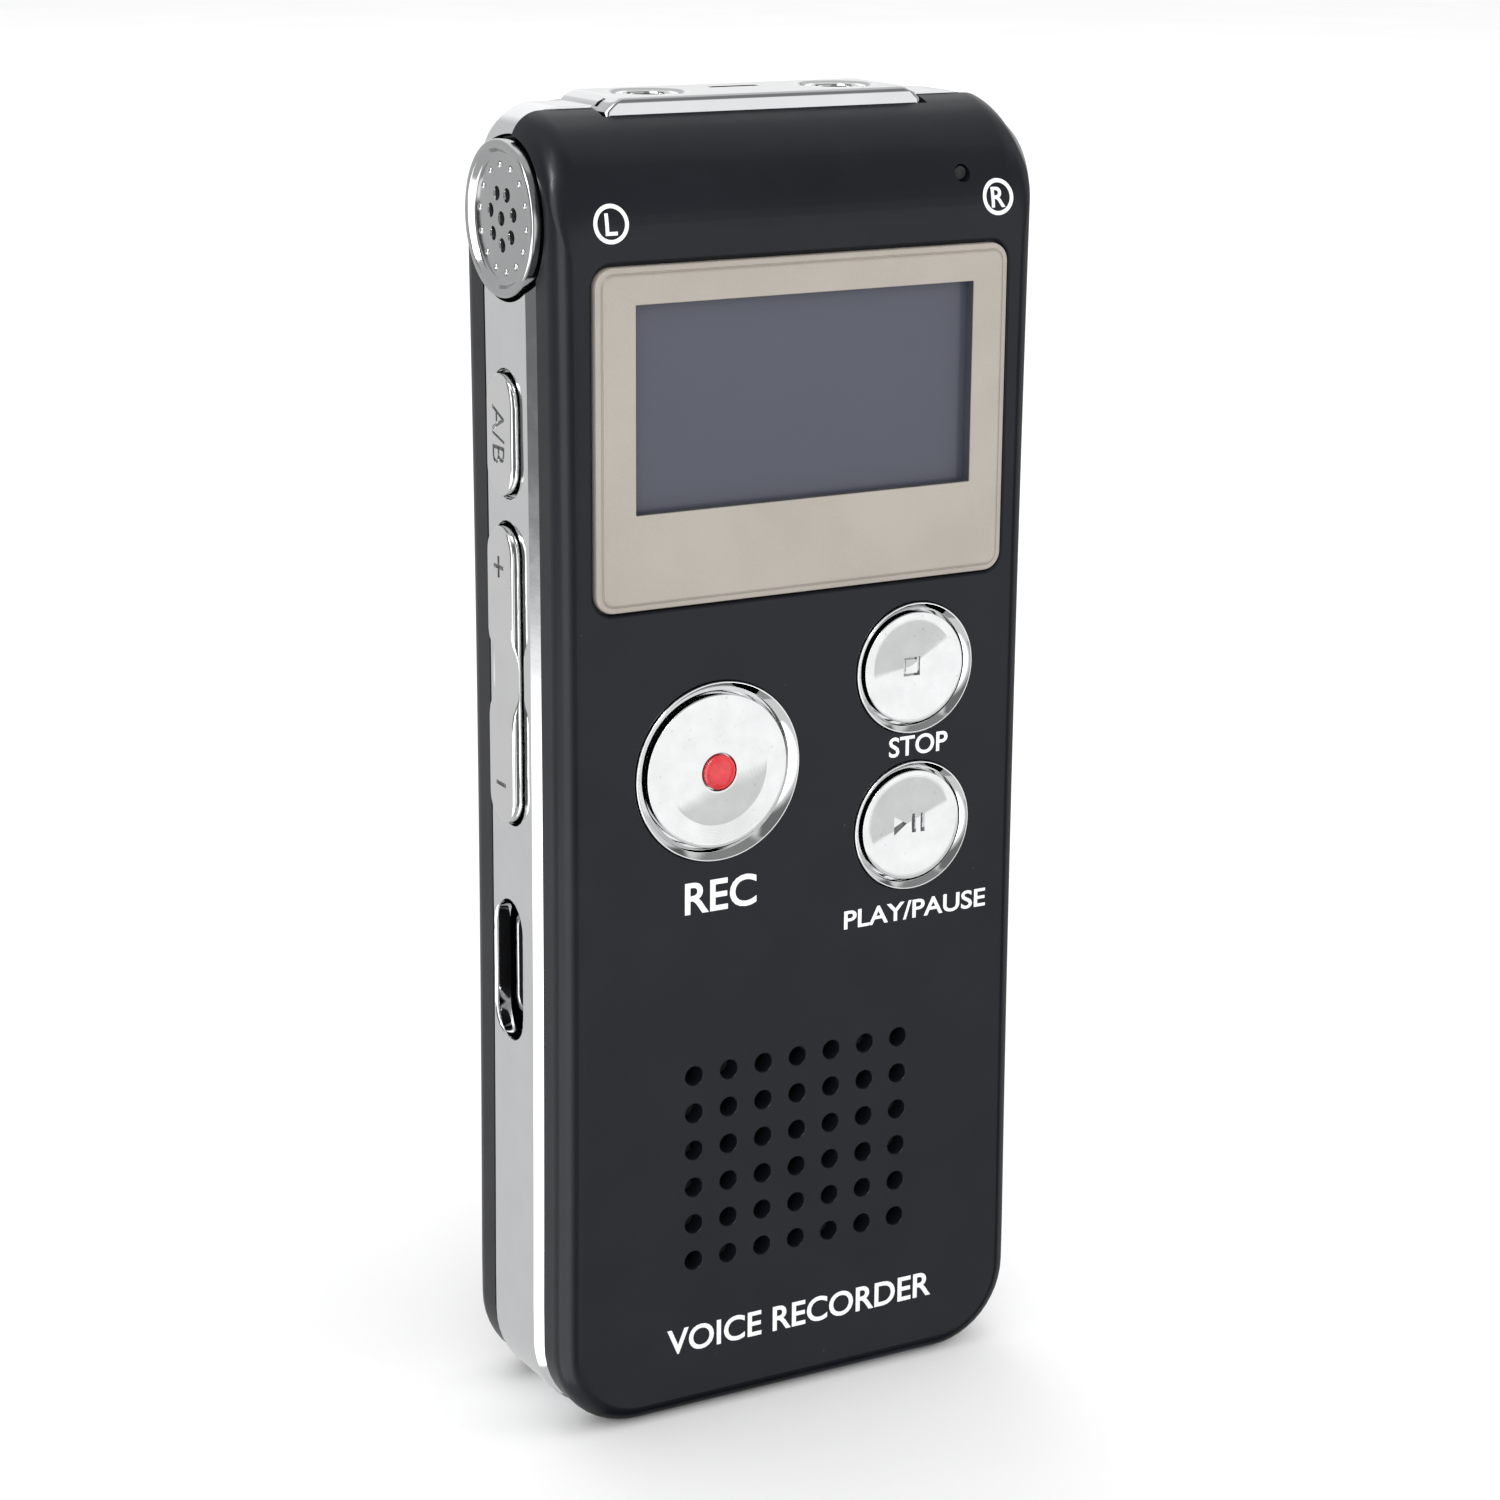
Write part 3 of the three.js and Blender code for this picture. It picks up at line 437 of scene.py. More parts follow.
def spun_look(name, node, shade):
    """Plated cap with fine turned rings and small pits."""
    middle = span(node)[0]
    look = Look(name, shade, 0.04, metallic=1.0)
    parts = look.xyz(look.add("ShaderNodeVectorMath", operation="SUBTRACT", inputs={
        0: look.millimetres, 1: (middle.x, 0, middle.z)})[0])
    radius = look.maths("SQRT", look.plus(look.maths("POWER", parts["X"], 2.0),
        look.maths("POWER", parts["Z"], 2.0)))
    rings = look.maths("SINE", look.times(radius, 55.0))
    pits = look.times(look.specks(0.7, 0.2), look.ranged(look.noise(1.7), 0.45, 0.6))
    look.paint(look.mixed(look.times(pits, 0.3), look.tone(1.6, 0.05), (0.45, 0.45, 0.45)))
    look.gloss(0.9, 0.015)
    look.shade({"Anisotropic": 0.2, "Tangent": look.add(
        "ShaderNodeTangent", direction_type="RADIAL", axis="Y")[0]})
    height = look.plus(look.times(rings, 0.12), look.noise(2.2, 1.0))
    return look.grain(height, 0.012, 0.25).material


def bezel_look():
    look = Look("champagne_paint", (0.5, 0.452, 0.395), 0.42, metallic=0.25, specular=0.4)
    flakes = look.ranged(look.noise(0.07, 1.0), 0.35, 0.65, -0.05, 0.05)
    share = look.plus(look.ranged(look.noise(6.0), 0.3, 0.7), look.times(flakes, 6.0))
    look.paint(look.mixed(share, (0.388, 0.355, 0.315), (0.426, 0.391, 0.349)))
    look.gloss(0.6, 0.03)
    return look.grain(look.noise(0.1, 1.0), 0.004, 0.3).material


def screen_look():
    """Display glass that is off: dark blue-grey with faint rows, under a clear gloss coat. Its
    colour grows a little lighter towards the top, as painted light.
    """
    look = Look("display_glass", (0.088, 0.094, 0.122), 0.32, specular=0.35, coat=0.35)
    parts = look.xyz(look.millimetres)
    rows = look.maths("SINE", look.times(parts["Z"], 2 * math.pi / 0.22))
    columns = look.maths("SINE", look.times(parts["X"], 2 * math.pi / 0.22))
    grid = look.times(look.plus(rows, columns), 0.12)
    # Painted light: the colour rises from the bottom of the window to its top, with the rows added
    # on.
    share = look.plus(look.ranged(parts["Z"], 70, 88), grid)
    look.paint(look.mixed(share, (0.056, 0.060, 0.084), (0.062, 0.066, 0.092)))
    return look.gloss(4.0, 0.03).material


def plain_look(name, colour, roughness, metallic=0.0, specular=0.5, size=1.0, spread=0.1,
        bump=0.01, coat=0.0):
    look = Look(name, colour, roughness, metallic, specular, coat)
    look.paint(look.tone(size, spread))
    look.gloss(size * 0.7, min(0.06, roughness * 0.4))
    return look.grain(look.noise(size * 0.3, 2.0), bump, 0.4).material


def board_look():
    """Green solder mask with copper tracks under it."""
    look = Look("solder_mask", (0.012, 0.075, 0.03), 0.32, specular=0.5)
    turned = look.add("ShaderNodeMapping", {"Vector": look.millimetres,
        "Rotation": (QUARTER, 0, 0)})[0]
    tracks = look.add("ShaderNodeTexBrick", {"Vector": turned, "Scale": 0.5,
        "Mortar Size": 0.035})["Fac"]
    look.paint(look.mixed(tracks, look.tone(2.0, 0.15), (0.03, 0.16, 0.06)))
    look.gloss(1.0, 0.05)
    return look.grain(tracks, 0.03, 0.5).material


def all_looks():
    steel = (0.5, 0.51, 0.52)
    return {
        "shell": shell_look(),
        "frame": chrome_look("frame_chrome", (0.77, 0.78, 0.79), 0.08),
        "plate": chrome_look("plate_chrome", (0.72, 0.73, 0.74), 0.08),
        "grille": chrome_look("grille_chrome", (0.5, 0.505, 0.51), 0.13, 0.006),
        "trim": chrome_look("trim_chrome", (0.88, 0.885, 0.89), 0.06),
        "control": chrome_look("control_chrome", (0.80, 0.81, 0.80), 0.09, 0.0008),
        "rec_cap": spun_look("rec_cap_chrome", "rec_button", (0.83, 0.835, 0.84)),
        "stop_cap": spun_look("stop_cap_chrome", "stop_button", (0.83, 0.835, 0.84)),
        "play_cap": spun_look("play_cap_chrome", "play_button", (0.83, 0.835, 0.84)),
        "engraved": plain_look("engraved_satin", (0.3, 0.3, 0.31), 0.45, 1.0, size=0.3, spread=0.1),
        "bezel": bezel_look(),
        "bezel_wall": plain_look("window_wall_paint", (0.055, 0.057, 0.065), 0.5),
        "screen": screen_look(),
        "red": plain_look("red_enamel", (0.60, 0.035, 0.045), 0.3, size=0.6, spread=0.12,
        bump=0.006, coat=0.4),
        "ink": plain_look("white_ink", (0.83, 0.84, 0.85), 0.5, size=0.3, spread=0.04, bump=0.002),
        "steel": plain_look("pressed_steel", steel, 0.32, 1.0, size=0.8, spread=0.06),
        # A real dark moulding, also used as painted shade inside the grille holes and the data
        # socket.
        "dark": plain_look("dark_moulding_and_painted_shade", (0.015, 0.015, 0.017), 0.55, size=0.5),
        "jack": plain_look("jack_moulding", (0.012, 0.012, 0.014), 0.5, specular=0.2, size=0.5),
        "rubber": plain_look("rubber", (0.02, 0.02, 0.02), 0.8, size=0.4, bump=0.02),
        "white": plain_look("white_moulding", (0.75, 0.75, 0.72), 0.5, size=0.7, spread=0.05),
        "board": board_look(),
        "foil": plain_look("battery_foil", (0.52, 0.54, 0.57), 0.4, 0.6, size=3.0, spread=0.08,
        bump=0.03),
        "ribbon": plain_look("polyimide_film", (0.42, 0.2, 0.05), 0.35, size=0.8, coat=0.3),
    }


# ---- Casing ----

def outline(half, low, high, corner_low, corner_high, depth, arc=12, side=28):
    points = []

    def corner(x, z, radius, start):
        for i in range(arc + 1):
            angle = (start + i / arc) * QUARTER
            points.append((x + radius * math.cos(angle), z + radius * math.sin(angle)))

    def edge(x, z0, z1):
        points.extend((x, z0 + (z1 - z0) * i / side) for i in range(1, side))

    corner(half - corner_low, low + corner_low, corner_low, -1)
    edge(half, low + corner_low, high - corner_high)
    corner(half - corner_high, high - corner_high, corner_high, 0)
    corner(corner_high - half, high - corner_high, corner_high, 1)
    edge(-half, high - corner_high, low + corner_low)
    corner(corner_low - half, low + corner_low, corner_low, 2)
    return [(x * (1 - waist(z) / half), depth, z) for x, z in points]


def edge_steps(*rounds, reach):
    """Distances from a face that follow each (radius, degrees) of rounding evenly."""
    steps = {round(reach, 4)}
    for radius, degrees in rounds:
        for i in range(int(90 / degrees) + 1):
            distance = radius * (1 - math.cos(math.radians(i * degrees)))
            if distance < reach - 0.02:
                steps.add(round(distance, 4))
    return sorted(steps)


def body_loop(inset, distance, edge, roll, corner, depth):
    drawn = rounding(edge, distance)
    return outline(HALF - inset - drawn, inset + drawn, TOP - inset - rounding(roll, distance),
        CORNER_LOW - inset - drawn, max(corner - inset, 0.6), depth)


def front_form(inset, back):
    edge, roll = max(EDGE - inset, 0.5), ROLL - inset
    steps = edge_steps((edge, 10), (roll, 4), reach=back - inset)
    return skin([body_loop(inset, step, edge, roll, CORNER_HIGH, inset + step) for step in steps])


def back_form(inset, front):
    edge, roll = BACK_EDGE - inset, BACK_ROLL - inset
    face = THICK - inset
    steps = edge_steps((edge, 10), (roll, 8), reach=face - front)
    return skin([body_loop(inset, step, edge, roll, BACK_CORNER, face - step) for step in steps])


def hole(x, z, radius, lip, back, sides=40):
    """A cutter along the depth whose mouth flares, so that the hole's edge comes out rounded."""
    steps = [(radius + rounding(lip, lip * k / 5), lip * k / 5) for k in range(6)]
    return lathe([(0, -1), (radius + lip, -1), *steps, (radius, back), (0, back)],
        facing_front(x, z), sides)


def mic_holes(inner):
    middle, half = span("left_mic_grille")
    size = half.z + 0.3
    return [rod(size, inner, 24, facing_side(side, middle.y, middle.z)) for side in (-1, 1)]


def plate_notch():
    middle, half = span("top_plate")
    room = 0.3
    return block(-half.x - room, half.x + room, middle.y - half.y - room, middle.y + half.y + room,
        middle.z - half.z - room, TOP + 2)


def front_shell():
    mic = span("left_mic_grille")[0]
    shell = cut(front_form(0, TOP_SEAM), front_form(WALL, TOP_SEAM + 1))
    shell = cut(shell, block(-BEYOND, BEYOND, SIDE_SEAM, TOP_SEAM + 2, -2, mic.z))
    shell = cut(shell, *mic_holes(MIC_FLOOR), plate_notch())
    back, low, high = edges("display_bezel")[1:]
    lip = 0.28
    mouth = [(-GAP - rounding(lip, max(step, 0)), step)
        for step in (-1, 0, 0.02, 0.07, 0.14, lip, back + 0.05)]
    tools = [skin(front_loops(mouth, span("display_bezel")[1].x, low, high, BEZEL_CORNER))]
    for name in CAPS:
        ring, size = span(name + "_ring")
        tools.append(hole(ring.x, ring.z, size.x + 0.04, 0.10, THROUGH, 88))
    for column in range(HOLES["columns"]):
        for row in range(HOLES["rows"]):
            x = (column - (HOLES["columns"] - 1) / 2) * HOLES["pitch"]
            z = HOLES["z"] + (row - (HOLES["rows"] - 1) / 2) * HOLES["pitch"]
            tools.append(hole(x, z, HOLES["radius"], 0.1, THROUGH, 28))
    led = span("light_pipe")
    tools.append(hole(led[0].x, led[0].z, led[1].x + 0.15, 0.05, 4, 32))
    shell = cut(shell, *tools)
    lens, size = span("display_lens")
    shell = cut(shell, block(-size.x - GAP, size.x + GAP, 0.1, THROUGH, lens.z - size.z - GAP,
        lens.z + size.z + GAP))
    bosses = []
    for x, z in SCREW_PLACES:
        profile = [(0.75, 6), (0.75, 11.8), (1.4, 11.8), (1.4, 1.45), (0, 1.45)]
        bosses.append(lathe([(0, 6), *profile], facing_front(x, z), 24))
    shell = fuse(shell, *bosses)
    finished("front_shell_cover", shell, "case", LOOKS["shell"], ["front_shell"])


def rear_shell():
    shell = cut(back_form(0, REAR_SEAM), back_form(WALL, REAR_SEAM - 1))
    posts, wells = [], []
    for x, z in SCREW_PLACES:
        face = THICK
        posts.append(rod(2, REAR_SEAM, face - 1.45, facing_front(x, z), 32))
        well = [(0, REAR_SEAM - 1), (0.9, REAR_SEAM - 1), (0.9, face - 1.6), (1.5, face - 1.6),
            (1.5, face - 0.25), (1.56, face - 0.1), (1.75, face), (1.75, face + 1),
            (0, face + 1)]
        wells.append(lathe(well, facing_front(x, z), 40))
    shell = cut(fuse(shell, *posts), *wells)
    shell = cut(shell, *mic_holes(MIC_FLOOR), plate_notch())
    finished("rear_shell_cover", shell, "case", LOOKS["shell"], ["rear_shell"])


def frame_form(inset, levels):
    return skin([outline(CHROME_HALF - inset - drawn, inset + drawn * 0.5, TOP - inset,
        CORNER_LOW - inset, CHROME_CORNER - inset, depth)
        for depth, drawn in levels])


def slot_cutter(side, depth, node_z, width, length, lip=0.18):
    """A cutter for a long slot in the side, with a flared mouth that follows the waist."""
    radius, straight = width / 2, (length - width) / 2
    loops = []
    for lift, more in ((-3.5, 0), (-lip, 0), (-lip * 0.5, rounding(lip, lip * 0.5)),
            (-lip * 0.2, rounding(lip, lip * 0.2)), (0, lip), (1, lip)):
        loops.append([(side * (chrome_face(node_z + along) + lift), depth + across, node_z + along)
            for across, along in stadium(radius + more, straight, 12, 8)])
    return skin(loops)


SLOT_ROOM = 0.3
SOCKET_SLOT = {"depth": 8.8, "width": 4.4, "length": 11.0}
HOLD_SLOT = {"width": 3.4, "length": 9.4}


def side_slots():
    slots = []
    for name, side in (("ab_button", -1), ("menu_button", 1), ("volume_rocker", -1),
            ("track_rocker", 1)):
        width, length = CONTROL_SIZES[name]
        slots.append(slot_cutter(side, SIDE_DEPTH, span(name)[0].z, width + SLOT_ROOM * 2,
            length + SLOT_ROOM * 2))
    socket, slider = span("usb_socket")[0], span("hold_slider")[0]
    slots.append(slot_cutter(-1, SOCKET_SLOT["depth"], socket.z, SOCKET_SLOT["width"],
        SOCKET_SLOT["length"], 0.25))
    slots.append(slot_cutter(1, SIDE_DEPTH, slider.z, HOLD_SLOT["width"], HOLD_SLOT["length"]))
    return slots


MIC_WALL, MIC_SHELF = 16.8, 84.6


def mid_frame():
    front, rear = SIDE_SEAM + GAP, REAR_SEAM - GAP
    outer = [(front, CHAMFER), (front + CHAMFER_DEPTH * 0.9, 0.055), (front + CHAMFER_DEPTH, 0.012),
        (front + CHAMFER_DEPTH * 1.15, 0), (rear - 0.8, 0), (rear - 0.6, 0.05),
        (rear, CHAMFER * 0.7)]
    band = cut(frame_form(0, outer), frame_form(FRAME_WALL, [(front - 1, 0), (rear + 1, 0)]))
    mic = span("left_mic_grille")[0]
    band = cut(band, block(-BEYOND, BEYOND, front - 2, TOP_SEAM + GAP, mic.z, TOP + 2))
    shelf = TOP - 0.8
    plate, half = span("top_plate")
    ledges = [block(*sorted((side * (half.x - 2), side * (half.x + 2))), TOP_SEAM + GAP, rear,
        plate.z - half.z - 1.5, shelf) for side in (-1, 1)]
    band = cut(fuse(band, *ledges), plate_notch(), *mic_holes(18.1))
    walls = []
    for side in (-1, 1):
        for outer_x, depth0, depth1, z1 in ((18, TOP_SEAM + GAP, rear, shelf),
                (18, front, rear, mic.z),
                (19.6, front + 0.75, rear - 0.6, 85.5)):
            walls.append(block(*sorted((side * MIC_WALL, side * outer_x)), depth0, depth1,
                MIC_SHELF, z1))
    for wall in walls:
        band = fuse(band, wall)
    boot = span("left_mic_boot")[1].z + 0.3
    band = cut(band, *[rod(boot, 15, 19, facing_side(side, mic.y, mic.z), 32)
        for side in (-1, 1)])
    band = cut(band, *side_slots())
    finished("chrome_frame", band, "case", LOOKS["frame"], ["mid_frame"])


PLATE_SLOT = (-2, 2, 10.6, 11.4)


def top_plate():
    half = span("top_plate")[1]
    front, back, low, high = edges("top_plate")
    loops = []
    for z, end, side in ((low, 0, 0), (high - 1.0, 0, 0), (high - 0.45, 0.55, 0.02),
            (high - 0.3, 0.85, 0.06), (high - 0.15, 1.08, 0.16),
            (high - 0.05, 1.25, 0.3), (high, 1.45, 0.48)):
        loop = rounded_rectangle(half.x - end, front + side, back - side, 0.5, 5)
        loops.append([(x, depth, z) for x, depth in loop])
    plate = skin(loops)
    tools = []
    for name in ("microphone_jack", "earphone_jack"):
        jack = jack_axis(name)
        tools.append(lathe([(0, 97), (2.6, 97), (2.6, high - 0.5), (2.72, high - 0.4),
            (2.98, high - 0.08), (3.1, high), (3.1, high + 1), (0, high + 1)],
            facing_up(*jack), 72))
    tools.append(block(*PLATE_SLOT, high - 0.8, high + 1))
    tools.append(block(-half.x - 1, -half.x + 1.0, front + 1.7, front + 2.2, high - 0.75, high + 1))
    finished("jack_plate", cut(plate, *tools), "case", LOOKS["plate"],
        ["top_plate"])


JACK_BODY, JACK_NOSE, JACK_BORE, JACK_LENGTH = 3.1, 2.3, 1.8, 12.5


def jack_axis(name):
    """X and depth of a jack's bore. The body reaches 2.6 in front of it and 3.1 behind."""
    middle, half = span(name)
    return middle.x, middle.y - half.y + 2.6


def jacks():
    for name in ("microphone_jack", "earphone_jack"):
        middle, half = span(name)
        x, depth = jack_axis(name)
        plate, size = span("top_plate")
        top = plate.z + size.z - 0.06
        high = middle.z - half.z + JACK_LENGTH
        body = block(x - JACK_BODY, x + JACK_BODY, middle.y - half.y, middle.y + half.y,
            high - JACK_LENGTH, high)
        nose = lathe([(0, high - 1), *softened([(JACK_NOSE, high - 1, 0), (JACK_NOSE, top, 0.16),
            (JACK_BORE - 0.3, top, 0)]), (0, top)],
            facing_up(x, depth), 64)
        bore = lathe([(0, high - JACK_LENGTH + 1), (JACK_BORE, high - JACK_LENGTH + 1),
            (JACK_BORE, top - 0.25), (JACK_BORE + 0.06, top - 0.1),
            (JACK_BORE + 0.2, top), (JACK_BORE + 0.2, top + 1), (0, top + 1)],
            facing_up(x, depth), 64)
        form = cut(fuse(body, nose), bore)
        piece = finished(name + "_socket", form, "case", LOOKS["jack"], [name])
        paint_where(piece, LOOKS["trim"], lambda px, py, pz: pz > top - 0.3 and
            math.hypot(px - x, py - depth) > JACK_BORE + 0.02)


def spots(count, ring, profile, side, depth, z):
    """The same small turned form at even turns round a ring on a side of the recorder."""
    turns = [2 * math.pi * (i + 0.25) / count for i in range(count)]
    return [lathe(profile, facing_side(side, depth + ring * math.cos(turn),
        z + ring * math.sin(turn)), 20) for turn in turns]


def mic_grilles():
    for name, side in (("left_mic_grille", -1), ("right_mic_grille", 1)):
        middle, half = span(name)
        face, back, radius = abs(middle.x) + half.x, abs(middle.x) - half.x, half.z
        at = (side, middle.y, middle.z)
        profile = softened([
            (0, back + 1.3, 0), (3.6, back + 1.3, 0.05), (3.6, back, 0.1), (radius, back, 0.1),
            (radius, face, 0.3), (radius - 0.62, face, 0.16), (radius - 0.95, face - 0.5, 0.3),
            (radius - 2.2, face - 0.42, 0.8), (0, face - 0.3, 0)], 5)
        bump = [(0, face - 0.7), (0.3, face - 0.7), (0.3, face - 0.48), (0.28, face - 0.4),
            (0.22, face - 0.33), (0.12, face - 0.28), (0, face - 0.265)]
        hole_path = [(0, back - 1), (0.47, back - 1), (0.47, face - 0.5), (0.53, face - 0.35),
            (0.53, face + 1), (0, face + 1)]
        disc = fuse(lathe(profile, facing_side(*at), 96), *spots(14, 3.75, bump, *at))
        disc = cut(disc, *spots(1, 0, hole_path, *at), *spots(7, 1.9, hole_path, *at))
        piece = finished(name + "_disc", disc, "case", LOOKS["grille"], [name])
        # Painted shade: the walls of the holes, deeper than the face, take the dark material so
        # that the holes read dark.
        paint_where(piece, LOOKS["dark"], lambda x, depth, z: abs(x) < face - 0.52 and
            math.hypot(depth - middle.y, z - middle.z) < 2.6)


def rear_screws():
    for i, (x, z) in enumerate(SCREW_PLACES):
        name = f"rear_screw_{i + 1}"
        tip, face = edges(name)[:2]
        profile = [(0, tip), (0.35, tip), (0.6, tip + 0.5), (0.6, face - 0.9),
            *softened([(0.6, face - 0.9, 0), (1.3, face - 0.9, 0.05), (1.3, face, 0.35),
            (0, face, 0)])]
        screw = lathe(profile, facing_front(x, z), 40)
        for a, b in ((0.18, 0.8), (0.8, 0.18)):
            screw = cut(screw, block(x - a, x + a, face - 0.4, face + 1, z - b, z + b))
        finished(name + "_head", screw, "case", LOOKS["steel"], [name])


# ---- Display ----

def display_bezel():
    half = span("display_bezel")[1]
    face, back, low, high = edges("display_bezel")
    step = 0.55
    outer = [(0, back), (0, face + 0.42), (0.04, face + 0.3), (0.12, face + 0.24),
        (step - 0.14, face + 0.215), (step - 0.09, face + 0.26), (step - 0.05, face + 0.26),
        (step, face + 0.2), (step + 0.02, face + 0.08), (step + 0.09, face + 0.02),
        (step + 0.2, face)]
    loops = front_loops(outer, half.x, low, high, BEZEL_CORNER, 0.5)
    for more, depth in ((0.08, face), (0.03, face + 0.02), (0, face + 0.08), (0, back)):
        loops.append(at_depth(rounded_rectangle(
            WINDOW["half"] + more, WINDOW["low"] - more, WINDOW["high"] + more, 0.06), depth))
    piece = finished("display_frame", skin(loops, ring=True), "case", LOOKS["bezel"],
        ["display_bezel"])
    paint_where(piece, LOOKS["bezel_wall"], lambda x, depth, z: depth > face + 0.1 and
        abs(x) < WINDOW["half"] + 0.01 and
        WINDOW["low"] - 0.01 < z < WINDOW["high"] + 0.01)


def display_lens():
    front, back, low, high = edges("display_lens")
    steps = ((0, back), (0, front + 0.12), (0.04, front + 0.04), (0.14, front))
    loops = front_loops(steps, span("display_lens")[1].x, low, high, 0.5, 0.5)
    finished("display_window", skin(loops), "case", LOOKS["screen"], ["display_lens"])


# ---- Front controls ----

CAPS = ("rec", "stop", "play")
CAP_FLANGE, CAP_RIM, CAP_SKIRT, CAP_INNER, STEM = 0.7, -0.05, 1.75, 2.4, 1.4
CAP_SIDES = 112
RING_LIP, RING_ROOM, RING_STEEP = 0.12, 0.2, 0.78


def ring_trims():
    """Trim rings, each with a flat lip and a slope down to the gap round its cap."""
    for name in CAPS:
        ring = name + "_ring"
        middle, half = span(ring)
        radius = half.x
        high, back = edges(ring)[:2]
        bore, lip = span(name + "_button")[1].x - CAP_FLANGE + RING_ROOM, radius - RING_LIP
        profile = softened([
            (radius, back, 0.05), (radius, high, 0.07), (lip, high, 0.03),
            (bore, high + (lip - bore) * RING_STEEP, 0.03), (bore, back, 0.05)], 4, True)
        form = lathe(profile, facing_front(middle.x, middle.z), CAP_SIDES, ring=True)
        finished(ring + "_trim", form, "case", LOOKS["trim"], [ring])


def cap_form(name, face):
    """A turned cap: its face profile, then rim, skirt, retaining flange and stem."""
    middle, half = span(name)
    flange, back = half.x, middle.y + half.y
    radius = flange - CAP_FLANGE
    path = [*face, *softened([
        (radius - 0.3, CAP_RIM, 0), (radius, CAP_RIM, 0.07), (radius, CAP_SKIRT, 0),
        (flange, CAP_SKIRT, 0.05), (flange, CAP_INNER, 0.05), (STEM, CAP_INNER, 0.05),
        (STEM, back, 0.1), (0, back, 0)])]
    return lathe(path, facing_front(middle.x, middle.z), CAP_SIDES)


def rec_button():
    """The wide cap: a shallow cone round the red dot, and a flat margin outside it."""
    radius, face = span("rec_button")[1].x - CAP_FLANGE, edges("rec_button")[0]
    disc, pocket, floor, margin = radius * 0.69, 1.45, 0.25, -0.07
    profile = [(0, floor), *softened([
        (0, floor, 0), (pocket, floor, 0.03), (pocket, face + 0.04, 0.03), (1.6, face + 0.045, 0),
        (disc - 0.1, face + 0.19, 0), (disc, face + 0.2, 0.03), (disc + 0.07, margin, 0.02),
        (disc + 0.15, margin, 0), (radius - 0.35, CAP_RIM, 0), (radius - 0.3, CAP_RIM, 0)])[1:-1]]
    finished("rec_cap", cap_form("rec_button", profile), "rec_button",
        LOOKS["rec_cap"], ["rec_button"])
    dot, size = span("rec_dot")
    front, back, radius = dot.y - size.y + 0.002, dot.y + size.y, size.x
    dome = [(0, front)]
    for k in range(1, 9):
        angle = k / 8 * QUARTER
        dome.append((radius * math.sin(angle), front + 0.45 * (1 - math.cos(angle))))
    dome += [(radius, back), (0, back)]
    finished("rec_dot_enamel", lathe(dome, facing_front(dot.x, dot.z), 56), "rec_button",
        LOOKS["red"], ["rec_dot"])


def frame_mark(x, z, half, line, depth0, depth1):
    """A square outline as a ring-shaped cutter."""
    outer = [(x - half, z - half), (x + half, z - half), (x + half, z + half), (x - half, z + half)]
    inner = [(x + (px - x) * (1 - line / half), z + (pz - z) * (1 - line / half))
        for px, pz in outer]
    return skin([at_depth(outer, depth0), at_depth(outer, depth1), at_depth(inner, depth1),
        at_depth(inner, depth0)], ring=True)


def small_caps():
    """The two caps dished towards their middles, each with its mark cut in."""
    deep, floor = 0.45, 0.72
    for name in ("stop_button", "play_button"):
        middle, half = span(name)
        radius = half.x - CAP_FLANGE
        steep = 0.6 / radius
        form = cap_form(name, [(0, deep), *((radius * part, deep - radius * part * steep)
            for part in (0.03, 0.82, 0.84))])
        x, z = middle.x, middle.z
        if name == "stop_button":
            marks = [frame_mark(x, z, 0.72, 0.2, -2, floor)]
        else:
            marks = [prism([(x - 1.35, z - 0.75), (x - 0.1, z), (x - 1.35, z + 0.75)], -2, floor)]
            marks += [block(x + a, x + a + 0.34, -2, floor, z - 0.75, z + 0.75)
                for a in (0.32, 1.05)]
        cap = name[:4] + "_cap"
        finished(cap, cut(form, *marks), name, LOOKS[cap], [name])


# ---- Side controls ----

CONTROL_SIZES = {"ab_button": (4.2, 8.9), "menu_button": (4.2, 8.9),
    "volume_rocker": (4.2, 22.4), "track_rocker": (4.2, 22.4)}
FLANGE = 0.6
ROCK_GAP = 0.45


def side_control(name, side, gap, crown, height):
    """A button lofted outwards from its flange; `height` gives the crown along its length."""
    width, length = CONTROL_SIZES[name]
    middle = span(name)[0]
    face = chrome_face(middle.z)
    radius, straight = width / 2, (length - width) / 2
    inner = face - FRAME_WALL - gap - FLANGE
    levels = [(-0.8, inner, 0), (-0.8, inner + FLANGE, 0), (0, inner + FLANGE, 0), (0, face, 0.55)]
    for k in range(1, 7):
        angle = k / 6 * QUARTER
        levels.append((crown * (1 - math.cos(angle)), face, 1 - 0.32 * (1 - math.sin(angle))))
    levels += [(inset, face, 1.0) for inset in (crown + 0.25, (crown + 0.25 + radius) / 2, radius)]
    loops = []
    for inset, base, share in levels:
        loop = stadium(radius - inset, straight, 16, 28)
        loops.append([(side * (base + share * height(along)), SIDE_DEPTH + across,
            middle.z + along) for across, along in loop])
    points, faces = skin(loops)
    # The last loop is the ridge down the middle, so it needs no face of its own.
    return (points, faces[:-1]), middle, face


def blended(value, low, high):
    share = min(1.0, max(0.0, (value - low) / (high - low)))
    return share * share * (3 - 2 * share)


def rocker_height(along):
    """Two raised pads with a saddle between them and a short rounded step down into it."""
    return 0.2 + 0.52 * blended(abs(along), 1.1, 3.1)


def mid_across(points):
    return (min(p[0] for p in points) + max(p[0] for p in points)) / 2


def side_letters(side, text, depth, z, size, face, lift, sink):
    """Letters for engraving, turned so that their tops point to the front."""
    points, faces = letters(text, size)
    middle = mid_across(points)
    placed = []
    for across, up, out in points:
        x = face + (lift + 1 if out > 0 else lift - sink)
        placed.append((side * x, depth - (up - size / 2), z - (across - middle)))
    return placed, faces


